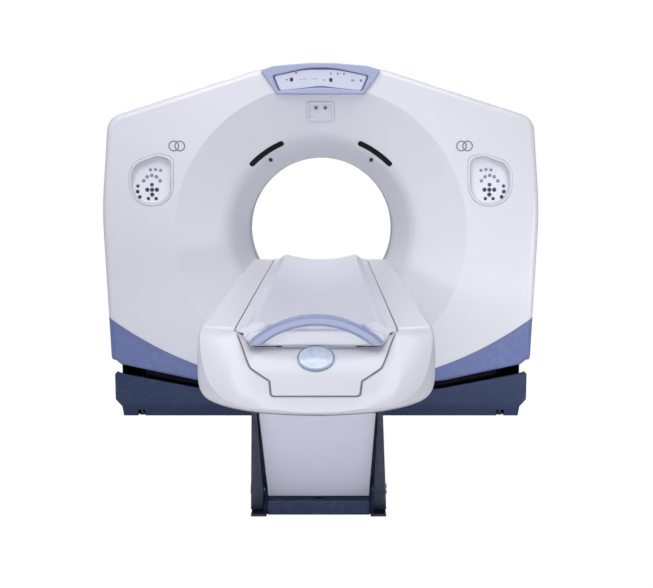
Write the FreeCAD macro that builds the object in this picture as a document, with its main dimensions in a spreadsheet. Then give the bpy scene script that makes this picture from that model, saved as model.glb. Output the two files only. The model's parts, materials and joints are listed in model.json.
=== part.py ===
"""A CT scanner: a ring-shaped gantry that tilts on two towers, and a patient table that rises on two
swinging legs and slides its cradle through the bore.

Millimetres. X runs to the right as seen from the table's foot, Y from the table to the gantry and Z up.
The origin is on the floor below the middle of the bore.
"""

import FreeCAD, Part

import math
import os

from FreeCAD import Placement, Rotation, Vector

doc = FreeCAD.newDocument("ct_scanner")
sheet = doc.addObject("Spreadsheet::Sheet", "sizes")

# ---------------------------------------------------------------- driving sizes
SIZES = {
    # gantry as a whole
    "iso_height": 965,  # the bore's axis above the floor
    "half_depth": 490,  # front face to the tilt axis
    "half_width": 1138,  # widest point of the covers
    "shoulder_half": 1096,  # where the sloping top meets the side
    "shoulder_height": 1562,
    "crown_half": 330,  # where the sloping top meets the crown
    "crown_height": 1806,
    "crown_top": 1834,
    "skirt_height": 303,  # lowest point of the covers' side
    "keel_height": 170,  # lowest point of the covers
    "keel_half": 640,
    "cover_wall": 5,
    "cover_depth": 350,  # how deep the front and rear covers reach
    # bore
    "bore_radius": 400,
    "throat_radius": 492,
    "funnel_radius": 762,
    "throat_depth": 152,
    "window_half": 62,  # half the width of the clear ring that the beam passes
    # base
    "base_half": 1090,
    "plinth_half": 1056,
    "plinth_height": 50,
    "base_shoulder": 88,
    "base_top": 232,  # top of the base at its ends
    "base_waist": 142,  # top of the base in the middle
    "tilt_gap": 14,
    # towers and tilt drive
    "tower_inner": 940,
    "tower_outer": 1040,
    "trunnion_radius": 55,
    "bush_wall": 15,
    "tooth_module": 8,
    "sector_teeth": 100,  # on a whole circle
    "pinion_teeth": 16,
    "gear_width": 30,
    # rotating side
    "drum_radius": 750,
    "drum_bore": 430,
    "drum_face": 62,
    "drum_rear": 122,
    "ring_inner": 640,
    "ring_outer": 830,
    "ring_front": 142,
    "ring_back": 192,
    "bearing_pitch": 637.5,
    "pulley_radius": 60,
    "pulley_reach": 900,
    "pulley_angle": -25,
    "belt_thickness": 5,
    # table; its distances along the bore follow the gantry's front face
    "table_height": 845,
    "table_half": 355,
    "table_gap": 100,  # from the gantry's front face to the table's near end
    "table_near_end": "=half_depth + table_gap",
    "straight_length": 2050,
    "nose_start": "=table_near_end + straight_length",
    "nose_length": 365,
    "nose_end": "=nose_start + nose_length",
    "recess_half": 238,
    "cradle_half": 234,
    "cradle_foot": "=nose_start + 98",
    "cradle_bottom": 796.1,
    "rail_half": 182,  # middle of the frame's side plates
    "rail_thickness": 20,
    # legs
    "leg_length": 700,
    "leg_angle": 43.5,
    "leg_pivot_height": 90,
    "front_pivot": "=table_near_end + 1345",
    "leg_spacing": 750,
    "pin_radius": 20,
    "foot_half": 262,
    "running_gap": 0.05,
}
for row, (name, value) in enumerate(SIZES.items(), start=1):
    sheet.set("A%d" % row, name)
    sheet.set("B%d" % row, str(value))
    sheet.setAlias("B%d" % row, name)
doc.recompute()


class Sizes:
    """The sheet's values, read by name."""

    def __getattr__(self, name):
        return float(sheet.get(name))


S = Sizes()


def bound(text):
    """An expression in which each name of the sheet points at its cell."""
    words = str(text).replace("(", " ( ").replace(")", " ) ").split()
    return " ".join("sizes." + w if w in SIZES else w for w in words)


# ---------------------------------------------------------------- building blocks
def add(kind, name):
    made = doc.addObject(kind, name)
    made.Label = name
    return made


def block(name, x0, x1, y0, y1, z0, z1):
    """A box between named planes; each limit is an expression."""
    made = add("Part::Box", name)
    made.setExpression("Length", bound("( %s ) - ( %s )" % (x1, x0)))
    made.setExpression("Width", bound("( %s ) - ( %s )" % (y1, y0)))
    made.setExpression("Height", bound("( %s ) - ( %s )" % (z1, z0)))
    made.setExpression("Placement.Base.x", bound(x0))
    made.setExpression("Placement.Base.y", bound(y0))
    made.setExpression("Placement.Base.z", bound(z0))
    return made


TURN = {
    "x": Rotation(Vector(0, 1, 0), 90),
    "y": Rotation(Vector(1, 0, 0), -90),
    "z": Rotation(),
}


def rod(name, axis, radius, start, length, middle):
    """A round bar along an axis; start is where it begins on that axis, middle its other two coordinates."""
    made = add("Part::Cylinder", name)
    made.setExpression("Radius", bound(radius))
    made.setExpression("Height", bound(length))
    made.Placement = Placement(Vector(), TURN[axis])
    others = [c for c in "xyz" if c != axis]
    made.setExpression("Placement.Base." + axis, bound(start))
    for c, where in zip(others, middle):
        made.setExpression("Placement.Base." + c, bound(where))
    return made


def outline(corners):
    """A closed outline of straight edges; a corner is (across, up) or (across, up, rounding radius)."""
    count = len(corners)
    cut = []
    for i in range(count):
        here = Vector(corners[i][0], corners[i][1], 0)
        back = Vector(corners[i - 1][0], corners[i - 1][1], 0) - here
        ahead = Vector(corners[(i + 1) % count][0], corners[(i + 1) % count][1], 0) - here
        radius = corners[i][2] if len(corners[i]) > 2 else 0
        if not radius:
            cut.append((here, here, None))
            continue
        half = back.getAngle(ahead) / 2
        reach = radius / math.tan(half)
        first = here + Vector(back).normalize() * reach
        last = here + Vector(ahead).normalize() * reach
        inward = (Vector(back).normalize() + Vector(ahead).normalize()).normalize()
        crest = here + inward * (radius / math.sin(half) - radius)
        cut.append((first, last, crest))
    edges = []
    for i in range(count):
        first, last, crest = cut[i]
        if crest is not None:
            edges.append(Part.Arc(first, crest, last))
        following = cut[(i + 1) % count][0]
        if (following - last).Length > 1e-6:
            edges.append(Part.LineSegment(last, following))
    return edges


PLANES = {
    "front": (Rotation(Vector(1, 0, 0), 90), "y", Vector(0, 1, 0)),
    "side": (Rotation(Vector(1, 1, 1), 120), "x", Vector(1, 0, 0)),
    "plan": (Rotation(), "z", Vector(0, 0, 1)),
}


def sketch(name, plane, at, edges):
    """A drawing on the front (X, Z), side (Y, Z) or plan (X, Y) plane, moved along that plane's normal."""
    turn, axis, _ = PLANES[plane]
    made = add("Sketcher::SketchObject", name + "_drawing")
    made.addGeometry(edges, False)
    made.Placement = Placement(Vector(), turn)
    made.setExpression("Placement.Base." + axis, bound(at))
    return made


def slab(name, plane, start, length, edges):
    """A drawing made thick, from start along the plane's axis."""
    base = sketch(name, plane, start, edges)
    made = add("Part::Extrusion", name)
    made.Base = base
    made.DirMode = "Custom"
    made.Dir = PLANES[plane][2]
    made.Solid = True
    made.setExpression("LengthFwd", bound(length))
    return made


def turned(name, edges, axis="y"):
    """A drawing of (along, out from the axis) turned right round the bore's axis or the tilt axis."""
    if axis == "y":
        base = add("Sketcher::SketchObject", name + "_drawing")
        base.Placement = Placement(Vector(), PLANES["side"][0])
        direction = Vector(0, 1, 0)
    else:
        base = add("Sketcher::SketchObject", name + "_drawing")
        base.Placement = Placement(Vector(), PLANES["front"][0])
        direction = Vector(1, 0, 0)
    base.addGeometry(edges, False)
    base.setExpression("Placement.Base.z", bound("iso_height"))
    made = add("Part::Revolution", name)
    made.Source = base
    made.Axis = direction
    made.Base = Vector(0, 0, S.iso_height)
    made.Angle = 360
    made.Solid = True
    return made


def ring(name, inner, outer, y0, y1):
    """A plain ring about the bore's axis."""
    whole = rod(name + "_outside", "y", outer, y0, "( %s ) - ( %s )" % (y1, y0), (0, "iso_height"))
    hole = rod(name + "_inside", "y", inner, "( %s ) - 1" % y0, "( %s ) - ( %s ) + 2" % (y1, y0), (0, "iso_height"))
    return cut(name, whole, hole)


def fuse(name, *parts):
    made = add("Part::MultiFuse", name)
    made.Shapes = list(parts)
    made.Refine = True
    return made


def cut(name, base, *tools):
    made = add("Part::Cut", name)
    made.Base = base
    made.Tool = tools[0] if len(tools) == 1 else fuse(name + "_tools", *tools)
    return made


def common(name, *parts):
    made = add("Part::MultiCommon", name)
    made.Shapes = list(parts)
    return made


def mirrored(name, source, normal=Vector(1, 0, 0)):
    made = add("Part::Mirroring", name)
    made.Source = source
    made.Normal = normal
    made.Base = Vector(0, 0, 0)
    return made


def group(name, *parts):
    made = add("Part::Compound", name)
    made.Links = list(parts)
    return made


def rounded(name, base, radius, wanted):
    """The base with every edge rounded whose middle passes the test."""
    doc.recompute()
    edges = []
    for i, edge in enumerate(base.Shape.Edges, start=1):
        middle = edge.valueAt((edge.FirstParameter + edge.LastParameter) / 2)
        if wanted(middle, edge):
            edges.append((i, radius, radius))
    made = add("Part::Fillet", name)
    made.Base = base
    made.Edges = edges
    return made


def both(points):
    """Corners of the right half, top to bottom, with the same ones mirrored on the left."""
    left = [(-p[0],) + tuple(p[1:]) for p in reversed(points) if p[0]]
    return list(points) + left


def around(angle, radius):
    """A point on a circle about the bore's axis, as (across, up)."""
    turn = math.radians(angle)
    return radius * math.cos(turn), S.iso_height + radius * math.sin(turn)


pieces = {}


def keep(piece):
    pieces[piece.Label] = piece
    return piece


# ---------------------------------------------------------------- gantry covers
def cover_outline(inset):
    """The gantry's outline seen from the front, drawn in by inset."""
    return both(
        [
            (0, S.crown_top - inset, 1500),
            (S.crown_half - inset * 0.2, S.crown_height - inset, 260),
            (S.shoulder_half - inset, S.shoulder_height - inset * 0.8, 92 - inset),
            (S.half_width - inset, S.iso_height + 120, 1800),
            (S.half_width - 26 - inset, S.skirt_height, 30),
            (S.half_width - 73 - inset, S.skirt_height - 41, 30),
            (S.keel_half, S.keel_height, 300),
        ]
    )


def open_outline(inset):
    """The same outline without its floor, for hollows: the covers are open below."""
    return both(
        [
            (0, S.crown_top - inset, 1500),
            (S.crown_half - inset * 0.2, S.crown_height - inset, 260),
            (S.shoulder_half - inset, S.shoulder_height - inset * 0.8, 92 - inset),
            (S.half_width - inset, S.iso_height + 120, 1800),
            (S.half_width - 26 - inset, S.skirt_height),
            (S.half_width - 26 - inset, 0),
        ]
    )


# The funnel's face runs from the front plane down a cone, round a bend and along a steep throat to the bore.
FRONT = -S.half_depth
CONE = math.atan2(S.funnel_radius - S.throat_radius, S.throat_depth)
THROAT_END = -S.window_half - 38


def funnel_path(grow):
    """The face's corners from the front plane to the clear ring, moved out from the bore by grow."""
    steep = math.atan2(S.throat_radius - S.bore_radius, THROAT_END - FRONT - S.throat_depth)
    at_cone = grow / math.cos(CONE)
    at_bend = grow / math.cos(CONE) * 0.5 + grow / math.cos(steep) * 0.5
    return [
        (FRONT, S.funnel_radius + at_cone),
        (FRONT + S.throat_depth, S.throat_radius + at_bend, 150 - grow),
        (THROAT_END, S.bore_radius + grow, 150 + grow),
        (-S.window_half, S.bore_radius + grow),
    ]


def funnel_plug(name, grow):
    """All that lies inside the funnel's face, to cut its opening."""
    start = funnel_path(grow)
    rise = 40 * math.tan(CONE)
    corners = [(FRONT - 40, 0), (20, 0), (20, S.bore_radius + grow)]
    corners += start[::-1][1:] + [(FRONT - 40, S.funnel_radius + rise + grow / math.cos(CONE))]
    return turned(name, outline(corners))


shell_blank = slab("front_cover_blank", "front", "- half_depth", "cover_depth", outline(cover_outline(0)))
shell_soft = rounded(
    "front_cover_soft",
    shell_blank,
    34,
    lambda m, e: abs(m.y - FRONT) < 0.01 and m.z > S.skirt_height - 60,
)
hollow_blank = slab(
    "front_cover_hollow_blank",
    "front",
    "- half_depth + cover_wall",
    "cover_depth",
    outline(open_outline(S.cover_wall)),
)
hollow = rounded(
    "front_cover_hollow",
    hollow_blank,
    29,
    lambda m, e: abs(m.y - FRONT - S.cover_wall) < 0.01 and m.z > S.skirt_height - 30,
)
funnel_skin = turned(
    "funnel_skin", outline(funnel_path(0) + funnel_path(S.cover_wall)[::-1])
)
front_rim = cut("front_cover_rim", shell_soft, hollow, funnel_plug("funnel_seat", S.cover_wall - 0.5))
front_shell = fuse("front_cover_shell", front_rim, funnel_skin)

# The lower corners are separate mouldings; their upper seam is a wide arc.
TRIM_CENTRE = 2000
TRIM_RADIUS = 1846
above_seam = rod("above_trim_seam", "y", TRIM_RADIUS, "- 600", 1200, (0, TRIM_CENTRE))
below_seam = rod("below_trim_seam", "y", TRIM_RADIUS + 1, "- 600", 1200, (0, TRIM_CENTRE))
trim_span = group(
    "trim_span",
    block("trim_span_right", 300, 1300, -600, 600, 0, 700),
    block("trim_span_left", -1300, -300, -600, 600, 0, 700),
)
not_trim = fuse(
    "cover_region",
    above_seam,
    block("cover_region_middle", -299, 299, -600, 600, 0, 700),
)
front_upper = common("front_upper", front_shell, not_trim)
front_trims = cut("front_trims_uncut", common("front_trim_region", front_shell, trim_span), below_seam)

# Display: a bezel set into the crown above the funnel, with an arched window.
DISPLAY = [(-306, 1800, 8), (-222, 1681, 14), (222, 1681, 14), (306, 1800, 8), (150, 1846, 500), (-150, 1846, 500)]
DISPLAY_WINDOW = [(-246, 1772, 10), (-214, 1696, 12), (0, 1716, 800), (214, 1696, 12), (246, 1772, 10), (0, 1826, 600)]
bezel_blank = slab("bezel_blank", "front", "- half_depth - 16", 65, outline(DISPLAY))
bezel_inside = common(
    "bezel_within_crown",
    bezel_blank,
    slab("crown_limit", "front", "- half_depth - 30", 120, outline(cover_outline(-7))),
)
bezel_window = slab("bezel_window", "front", "- half_depth - 30", 60, outline(DISPLAY_WINDOW))
bezel_cut = cut("bezel_cut", bezel_inside, bezel_window)
display_bezel = keep(
    rounded(
        "display_bezel",
        bezel_cut,
        6,
        lambda m, e: abs(m.y - FRONT + 16) < 0.01 and e.Length > 40,
    )
)
display_panel = keep(slab("display_panel", "front", "- half_depth - 5", 12, outline(DISPLAY_WINDOW)))

# Talk-back housing: a box let into the funnel's cone straight above the bore.
cone_angle = 90 - math.degrees(CONE)
INTERCOM_RADIUS = 634


def on_cone(name, radius, corners, out, depth):
    """A flat piece lying on the cone above the bore, standing out by out and reaching depth behind its face."""
    made = slab(name, "front", 0, depth, outline(corners))
    y = FRONT + (S.funnel_radius - radius) / math.tan(CONE)
    turn = math.radians(cone_angle)
    made.Placement = Placement(
        Vector(0, y - out * math.cos(turn), S.iso_height + radius - out * math.sin(turn)),
        Rotation(Vector(1, 0, 0), cone_angle),
    )
    return made


def square(half_across, half_up, radius):
    return [
        (-half_across, -half_up, radius),
        (half_across, -half_up, radius),
        (half_across, half_up, radius),
        (-half_across, half_up, radius),
    ]


intercom_blank = on_cone("intercom_blank", INTERCOM_RADIUS, square(70, 54, 18), 7, 30)
intercom_dish = on_cone("intercom_dish", INTERCOM_RADIUS, square(58, 42, 12), 9, 12)
intercom_seat = on_cone("intercom_seat", INTERCOM_RADIUS, square(70.4, 54.4, 18), 20, 60)
intercom_eyes = [
    on_cone(
        "intercom_eye_seat_" + word,
        INTERCOM_RADIUS,
        [(x + u, z + 18, q) for u, z, q in square(9, 9, 8.9)],
        2,
        12,
    )
    for word, x in (("left", -24), ("right", 24))
]
keep(cut("intercom_housing", intercom_blank, intercom_dish, *intercom_eyes))
lenses = [
    on_cone(
        "intercom_lens_" + word,
        INTERCOM_RADIUS,
        [(x + u, z + 18, q) for u, z, q in square(8.8, 8.8, 8.7)],
        0,
        10,
    )
    for word, x in (("left", -24), ("right", 24))
]

# ---------------------------------------------------------------- control pods on the front
POD_X = 876
POD_Z = 1225


def pod_edges(grow, side):
    """A tear-drop: a round bowl with a shoulder that leans towards the bore."""
    r = 112 + grow
    corners = [
        (-r, -r, r * 0.93),
        (r, -r, r * 0.93),
        (r + 6, r + 24, 36),
        (r * 0.36, r + 44, 60),
        (-r, r - 6, r * 0.85),
    ]
    turned_round = [(side * x, z, q) for x, z, q in corners]
    return [(side * -POD_X + x, POD_Z + z, q) for x, z, q in turned_round]


pod_cuts = []
pod_bowls = []
for side, word in ((1, "left"), (-1, "right")):
    pod_cuts.append(slab("pod_seat_" + word, "front", "- half_depth - 10", 60, outline(pod_edges(1, side))))
    bowl = slab("pod_blank_" + word, "front", "- half_depth - 3", 40, outline(pod_edges(0, side)))
    inside = slab("pod_inside_" + word, "front", "- half_depth - 5", 36, outline(pod_edges(-12, side)))
    pod = cut("pod_open_" + word, bowl, inside)
    pod_bowls.append(
        rounded(
            "pod_bowl_" + word,
            pod,
            2.5,
            lambda m, e: abs(m.y - FRONT + 3) < 0.01 and e.Length > 6,
        )
    )
keep(group("control_pods", *pod_bowls))

# Laser windows lie where the cone turns into the throat.
LASER_RADIUS = 514


def arc_slot(name, radius, width, first, last, y0, depth):
    """A bent slot with round ends, on a circle about the bore."""
    a, b = math.radians(first), math.radians(last)
    m = (a + b) / 2
    r0, r1 = radius - width / 2, radius + width / 2

    def at(turn, r):
        return Vector(r * math.cos(turn), S.iso_height + r * math.sin(turn), 0)

    tip = width / 2 / radius
    edges = [
        Part.Arc(at(a, r1), at(m, r1), at(b, r1)),
        Part.Arc(at(b, r1), at(b + tip, radius), at(b, r0)),
        Part.Arc(at(b, r0), at(m, r0), at(a, r0)),
        Part.Arc(at(a, r0), at(a - tip, radius), at(a, r1)),
    ]
    return slab(name, "front", y0, depth, edges)


laser_seats = [
    arc_slot("laser_seat_right", LASER_RADIUS, 27, 45, 66, "- half_depth", 300),
    arc_slot("laser_seat_left", LASER_RADIUS, 27, 114, 135, "- half_depth", 300),
]

keep(
    group(
        "laser_windows",
        common("laser_window_right", arc_slot("laser_bar_right", LASER_RADIUS, 26.4, 45, 66, "- half_depth", 300), funnel_skin),
        common("laser_window_left", arc_slot("laser_bar_left", LASER_RADIUS, 26.4, 114, 135, "- half_depth", 300), funnel_skin),
    )
)

# Two small sensor lenses sit closer to the bore than the laser windows.
SENSOR_RADIUS = 470
sensor_seats = [
    rod("sensor_seat_right", "y", 10.3, "- half_depth", 300, around(55, SENSOR_RADIUS)),
    rod("sensor_seat_left", "y", 10.3, "- half_depth", 300, around(125, SENSOR_RADIUS)),
]
for word, angle in (("right", 55), ("left", 125)):
    bar = rod("sensor_bar_" + word, "y", 10, "- half_depth", 300, around(angle, SENSOR_RADIUS))
    lenses.append(common("sensor_lens_" + word, bar, funnel_skin))
keep(group("sensor_lenses", *lenses))

display_hole = slab("display_hole", "front", "- half_depth - 40", 90, outline(DISPLAY))
keep(
    cut(
        "front_cover",
        front_upper,
        display_hole,
        intercom_seat,
        *pod_cuts,
        *laser_seats,
        *sensor_seats,
    )
)
keep(group("front_trims", front_trims))
front_trims.Label = "front_trim_pair"
keep(mirrored("rear_cover", front_upper, Vector(0, 1, 0)))
keep(mirrored("rear_trims", front_trims, Vector(0, 1, 0)))

# The band between the two faces: two side covers and a top cover.
band = cut(
    "cover_band",
    slab("band_blank", "front", "- half_depth + cover_depth + 0.5", "2 * ( half_depth - cover_depth ) - 1", outline(cover_outline(0))),
    slab("band_hollow", "front", "- half_depth", "2 * half_depth", outline(open_outline(S.cover_wall))),
)
keep(common("top_cover", band, block("top_region", -1400, 1400, -600, 600, "shoulder_height - 90.5", 2200)))
side_covers = []
for side, word in ((1, "right"), (-1, "left")):
    region = block(
        "side_region_" + word,
        -1400 if side < 0 else 700,
        -700 if side < 0 else 1400,
        -600,
        600,
        0,
        "shoulder_height - 91",
    )
    side_covers.append(common("side_cover_" + word, band, region))
keep(group("side_covers", *side_covers))

# Clear ring over the beam's path.
keep(ring("scan_window", "bore_radius", "bore_radius + 4", "- window_half", "window_half"))

# ---------------------------------------------------------------- key mats in the pods
def key_points():
    """Middles and radii of the keys of the right-hand pod, across from its centre and up."""
    points = [(0, -30, 8), (0, -4, 8), (0, -55, 8), (-25, -30, 8), (25, -30, 8)]
    points += [(-20, -76, 6), (20, -76, 6)]
    points += [(52 * math.cos(math.radians(a)), -22 + 66 * math.sin(math.radians(a)), 7) for a in (35, 63, 90, 117, 145)]
    points += [(76 * math.cos(math.radians(a)), -30 + 70 * math.sin(math.radians(a)), 7) for a in (-32, -8, 16)]
    points += [(-46, 70, 6), (-20, 74, 6), (6, 72, 6)]
    return points


mats = []
for side, word in ((1, "left"), (-1, "right")):
    mat = slab("key_mat_base_" + word, "front", "- half_depth + 27", 4, outline(pod_edges(-13, side)))
    domes = [
        rod(
            "key_%s_%d" % (word, i),
            "y",
            radius,
            "- half_depth + 24",
            3.5,
            (side * -POD_X - side * x, POD_Z + z),
        )
        for i, (x, z, radius) in enumerate(key_points())
    ]
    mats.append(fuse("key_mat_" + word, mat, *domes))
keep(group("key_mats", *mats))

# ---------------------------------------------------------------- tilting frame
frame_plate = ring("frame_plate", "ring_inner", "ring_outer", "ring_front", "ring_back")
half_parts = []
for word, sign in (("right", 1), ("left", -1)):
    x0, x1 = (770, 870) if sign > 0 else (-870, -770)
    e0, e1 = (870, 895) if sign > 0 else (-895, -870)
    half_parts.append(block("frame_beam_" + word, x0, x1, "drum_face + 44", "ring_back", "iso_height - 130", "iso_height + 130"))
    half_parts.append(block("frame_end_" + word, e0, e1, -150, 150, "iso_height - 150", "iso_height + 150"))
    half_parts.append(
        rod("trunnion_" + word, "x", "trunnion_radius", 895 if sign > 0 else -1045, 150, (0, "iso_height"))
    )
PULLEY_X, PULLEY_Z = around(S.pulley_angle, S.pulley_reach)
motor_lug = block("motor_lug", 690, 905, "ring_front", "ring_back", PULLEY_Z - 95, PULLEY_Z + 95)
shaft_hole = rod("motor_shaft_hole", "y", 18.3, 0, 200, (PULLEY_X, PULLEY_Z))
keep(cut("tilt_frame", fuse("tilt_frame_blank", frame_plate, motor_lug, *half_parts), shaft_hole))
keep(
    group(
        "cover_standoffs",
        *[
            rod("standoff_front_%d" % a, "y", 15, "- half_depth + cover_wall", "ring_front + half_depth - cover_wall", around(a, 800))
            for a in (55, 125, 235, 305)
        ],
        *[
            rod("standoff_rear_%d" % a, "y", 15, "ring_back", "half_depth - ring_back - cover_wall", around(a, 800))
            for a in (55, 125, 235, 305)
        ]
    )
)

# ---------------------------------------------------------------- main bearing, drum and what it carries
keep(ring("bearing_outer_race", "bearing_pitch + 0.15", "bearing_pitch + 36", "drum_rear + 4", "ring_front"))
keep(ring("bearing_inner_race", "bearing_pitch - 38", "bearing_pitch - 0.15", "drum_rear", "ring_front - 2"))
keep(ring("rotor_drum", "drum_bore", "drum_radius", "drum_face", "drum_rear"))
slip_hub = ring("slip_hub", 560, 580, "drum_rear", "ring_back + 21")
slip_disc = ring("slip_disc", 560, 700, "ring_back + 20", "ring_back + 50")
keep(fuse("slip_ring", slip_hub, slip_disc))
keep(
    fuse(
        "brush_block",
        block("brush_body", -70, 70, "ring_back", "ring_back + 66", "iso_height + 712", "iso_height + 800"),
        *[
            block("brush_%d" % i, -50 + 30 * i, -40 + 30 * i, "ring_back + 26", "ring_back + 44", "iso_height + 702.5", "iso_height + 713")
            for i in range(4)
        ]
    )
)


def carried(name, angle, radius, across, tall, front, soft=14):
    """A box on the drum's face that reaches forward to front, square to the radius at the given angle."""
    turn = math.radians(angle - 90)
    corners = []
    for u, v in ((-across / 2, -tall / 2), (across / 2, -tall / 2), (across / 2, tall / 2), (-across / 2, tall / 2)):
        x = u * math.cos(turn) - (radius + v) * math.sin(turn)
        z = u * math.sin(turn) + (radius + v) * math.cos(turn)
        corners.append((x, S.iso_height + z, soft))
    return slab(name, "front", front, "drum_face - ( %s )" % front, outline(corners))


def fan(name, centre_up, inner, outer, half_angle, front):
    """Part of a ring that hangs from a point above the bore's axis."""
    a = math.radians(half_angle)

    def at(turn, r):
        return Vector(r * math.sin(turn), S.iso_height + centre_up - r * math.cos(turn), 0)

    edges = [
        Part.Arc(at(-a, outer), at(0, outer), at(a, outer)),
        Part.LineSegment(at(a, outer), at(a, inner)),
        Part.Arc(at(a, inner), at(0, inner), at(-a, inner)),
        Part.LineSegment(at(-a, inner), at(-a, outer)),
    ]
    return slab(name, "front", front, "drum_face - ( %s )" % front, edges)


tube_body = rod("tube_body", "y", 92, -222, "222 + drum_face", (0, "iso_height + 618"))
tube_end = rod("tube_end", "y", 62, -236, 15, (0, "iso_height + 618"))
keep(fuse("x_ray_tube", tube_body, tube_end))

# The collimator's two blades slide along the bore's axis in a chamber across the beam.
beam_slot = block("beam_slot", -70, 70, -26, 26, "iso_height + 430", "iso_height + 530")
blade_chamber = block("blade_chamber", -74, 74, -58, 58, "iso_height + 465 - running_gap", "iso_height + 485 + running_gap")
keep(cut("collimator", carried("collimator_blank", 90, 480, 210, 88, -74, 8), beam_slot, blade_chamber))
keep(block("collimator_blade_front", -72, 72, -36, -8, "iso_height + 465", "iso_height + 485"))
keep(block("collimator_blade_rear", -72, 72, 8, 36, "iso_height + 465", "iso_height + 485"))
keep(fan("detector_arc", 560, 1096, 1160, 27, -68))
keep(fan("readout_electronics", 560, 1161, 1200, 23, -50))
keep(carried("high_voltage_tank", 150, 606, 300, 170, -200))
keep(carried("inverter_box", 30, 606, 300, 170, -200))
keep(carried("oil_cooler", 190, 615, 170, 190, -160))
keep(carried("counterweight", 352, 640, 230, 130, -130))

# Drive: a motor on the tilting frame turns the drum by a flat belt.
keep(rod("drive_motor", "y", 80, "ring_back", 190, (PULLEY_X, PULLEY_Z)))
pulley_rim = rod("pulley_rim", "y", "pulley_radius", "drum_face + 4", 34, (PULLEY_X, PULLEY_Z))
pulley_shaft = rod("pulley_shaft", "y", 18, "drum_face + 37", "ring_back - drum_face - 37.5", (PULLEY_X, PULLEY_Z))
keep(fuse("drive_pulley", pulley_rim, pulley_shaft))


def loop(extra):
    """The belt's path round the drum and the pulley, moved outwards by extra."""
    big, small = S.drum_radius + extra, S.pulley_radius + extra
    lie = math.radians(S.pulley_angle)
    spread = math.acos((big - small) / S.pulley_reach)

    def at(turn, r, x=0.0, z=0.0):
        return Vector(x + r * math.cos(turn), z + S.iso_height + r * math.sin(turn), 0)

    px, pz = PULLEY_X, PULLEY_Z - S.iso_height
    return [
        Part.Arc(at(lie + spread, big), at(lie + math.pi, big), at(lie - spread, big)),
        Part.LineSegment(at(lie - spread, big), at(lie - spread, small, px, pz)),
        Part.Arc(at(lie - spread, small, px, pz), at(lie, small, px, pz), at(lie + spread, small, px, pz)),
        Part.LineSegment(at(lie + spread, small, px, pz), at(lie + spread, big)),
    ]


keep(
    cut(
        "drive_belt",
        slab("belt_outside", "front", "drum_face + 5", 32, loop(S.belt_thickness + 0.3)),
        slab("belt_inside", "front", "drum_face", 42, loop(0.3)),
    )
)

# ---------------------------------------------------------------- tilt gear
def gear_edges(teeth, module, centre, start, count=None, closing=None):
    """A toothed outline with involute flanks. With count, only that many teeth, closed by the points of closing."""
    pitch = teeth * module / 2
    base = pitch * math.cos(math.radians(20))
    tip = pitch + module * 0.95
    root = pitch - module * 1.2
    thick = (math.pi / 2 - 0.05) / teeth  # half the tooth's angle at the pitch circle, less backlash
    involute = math.tan(math.radians(20)) - math.radians(20)

    def flank(r):
        if r <= base:
            return thick + involute
        press = math.acos(base / r)
        return thick + involute - (math.tan(press) - press)

    radii = [root] + [max(base, root) + (tip - max(base, root)) * k / 4 for k in range(5)]
    if root >= base:
        radii = radii[1:]
    points = []
    total = int(count or teeth)
    for i in range(total):
        middle = start + 2 * math.pi * i / teeth
        for r in radii:
            points.append((r, middle - flank(r)))
        for r in reversed(radii):
            points.append((r, middle + flank(r)))
    path = [Vector(centre[0] + r * math.cos(a), centre[1] + r * math.sin(a), 0) for r, a in points]
    path += closing or []
    return [Part.LineSegment(path[i], path[(i + 1) % len(path)]) for i in range(len(path))]


# seen from the side, angles run from +Y towards +Z, and straight down is -90 degrees
SECTOR_COUNT = 23
sector_step = 2 * math.pi / S.sector_teeth
sector_start = -math.pi / 2 - sector_step * (SECTOR_COUNT - 1) / 2
centre = (0, S.iso_height)
sector_closing = [
    Vector(200, S.iso_height + 70, 0),
    Vector(-200, S.iso_height + 70, 0),
]
sector_blank = slab(
    "sector_blank",
    "side",
    -925.5,
    "gear_width",
    gear_edges(S.sector_teeth, S.tooth_module, centre, sector_start, SECTOR_COUNT, sector_closing),
)
sector_hole = rod("sector_hole", "x", "trunnion_radius + 0.2", -940, 60, (0, "iso_height"))
keep(cut("tilt_sector", sector_blank, sector_hole))
GEAR_REACH = (S.sector_teeth + S.pinion_teeth) * S.tooth_module / 2 + 0.1
pinion_z = S.iso_height - GEAR_REACH
pinion_step = 2 * math.pi / S.pinion_teeth
pinion_wheel = slab(
    "pinion_wheel",
    "side",
    -925.5,
    "gear_width",
    gear_edges(S.pinion_teeth, S.tooth_module, (0, pinion_z), math.pi / 2 + pinion_step / 2),
)
pinion_shaft = rod("pinion_shaft", "x", 20, -1040, 115, (0, pinion_z))
keep(fuse("tilt_pinion", pinion_wheel, pinion_shaft))
keep(rod("tilt_motor", "x", 88, -1095, 54.5, (0, pinion_z)))

# ---------------------------------------------------------------- towers and base
tower_edges = [
    (-46, 60),
    (46, 60),
    (46, 112),
    (128, 262, 30),
    (145, 700, 200),
    (145, S.iso_height + 145, 144.9),
    (-145, S.iso_height + 145, 144.9),
    (-145, 700, 200),
    (-128, 262, 30),
    (-46, 112),
]
towers = []
for word, sign in (("right", 1), ("left", -1)):
    x0 = "tower_inner" if sign > 0 else "- tower_outer"
    blank = slab("tower_blank_" + word, "side", x0, "tower_outer - tower_inner", outline(tower_edges))
    bore = rod("tower_bore_" + word, "x", "trunnion_radius + bush_wall", "( %s ) - 5" % x0, 110, (0, "iso_height"))
    window = slab(
        "tower_window_" + word,
        "side",
        "( %s ) + 30" % x0 if sign > 0 else "( %s ) - 5" % x0,
        75,
        outline([(-70, 600, 40), (70, 600, 40), (85, 820, 40), (-85, 820, 40)]),
    )
    tools = [bore, window]
    if sign < 0:
        tools.append(rod("pinion_shaft_hole", "x", 20.3, -1045, 110, (0, pinion_z)))
    towers.append(cut("tower_" + word, blank, *tools))
keep(group("towers", *towers))
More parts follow.
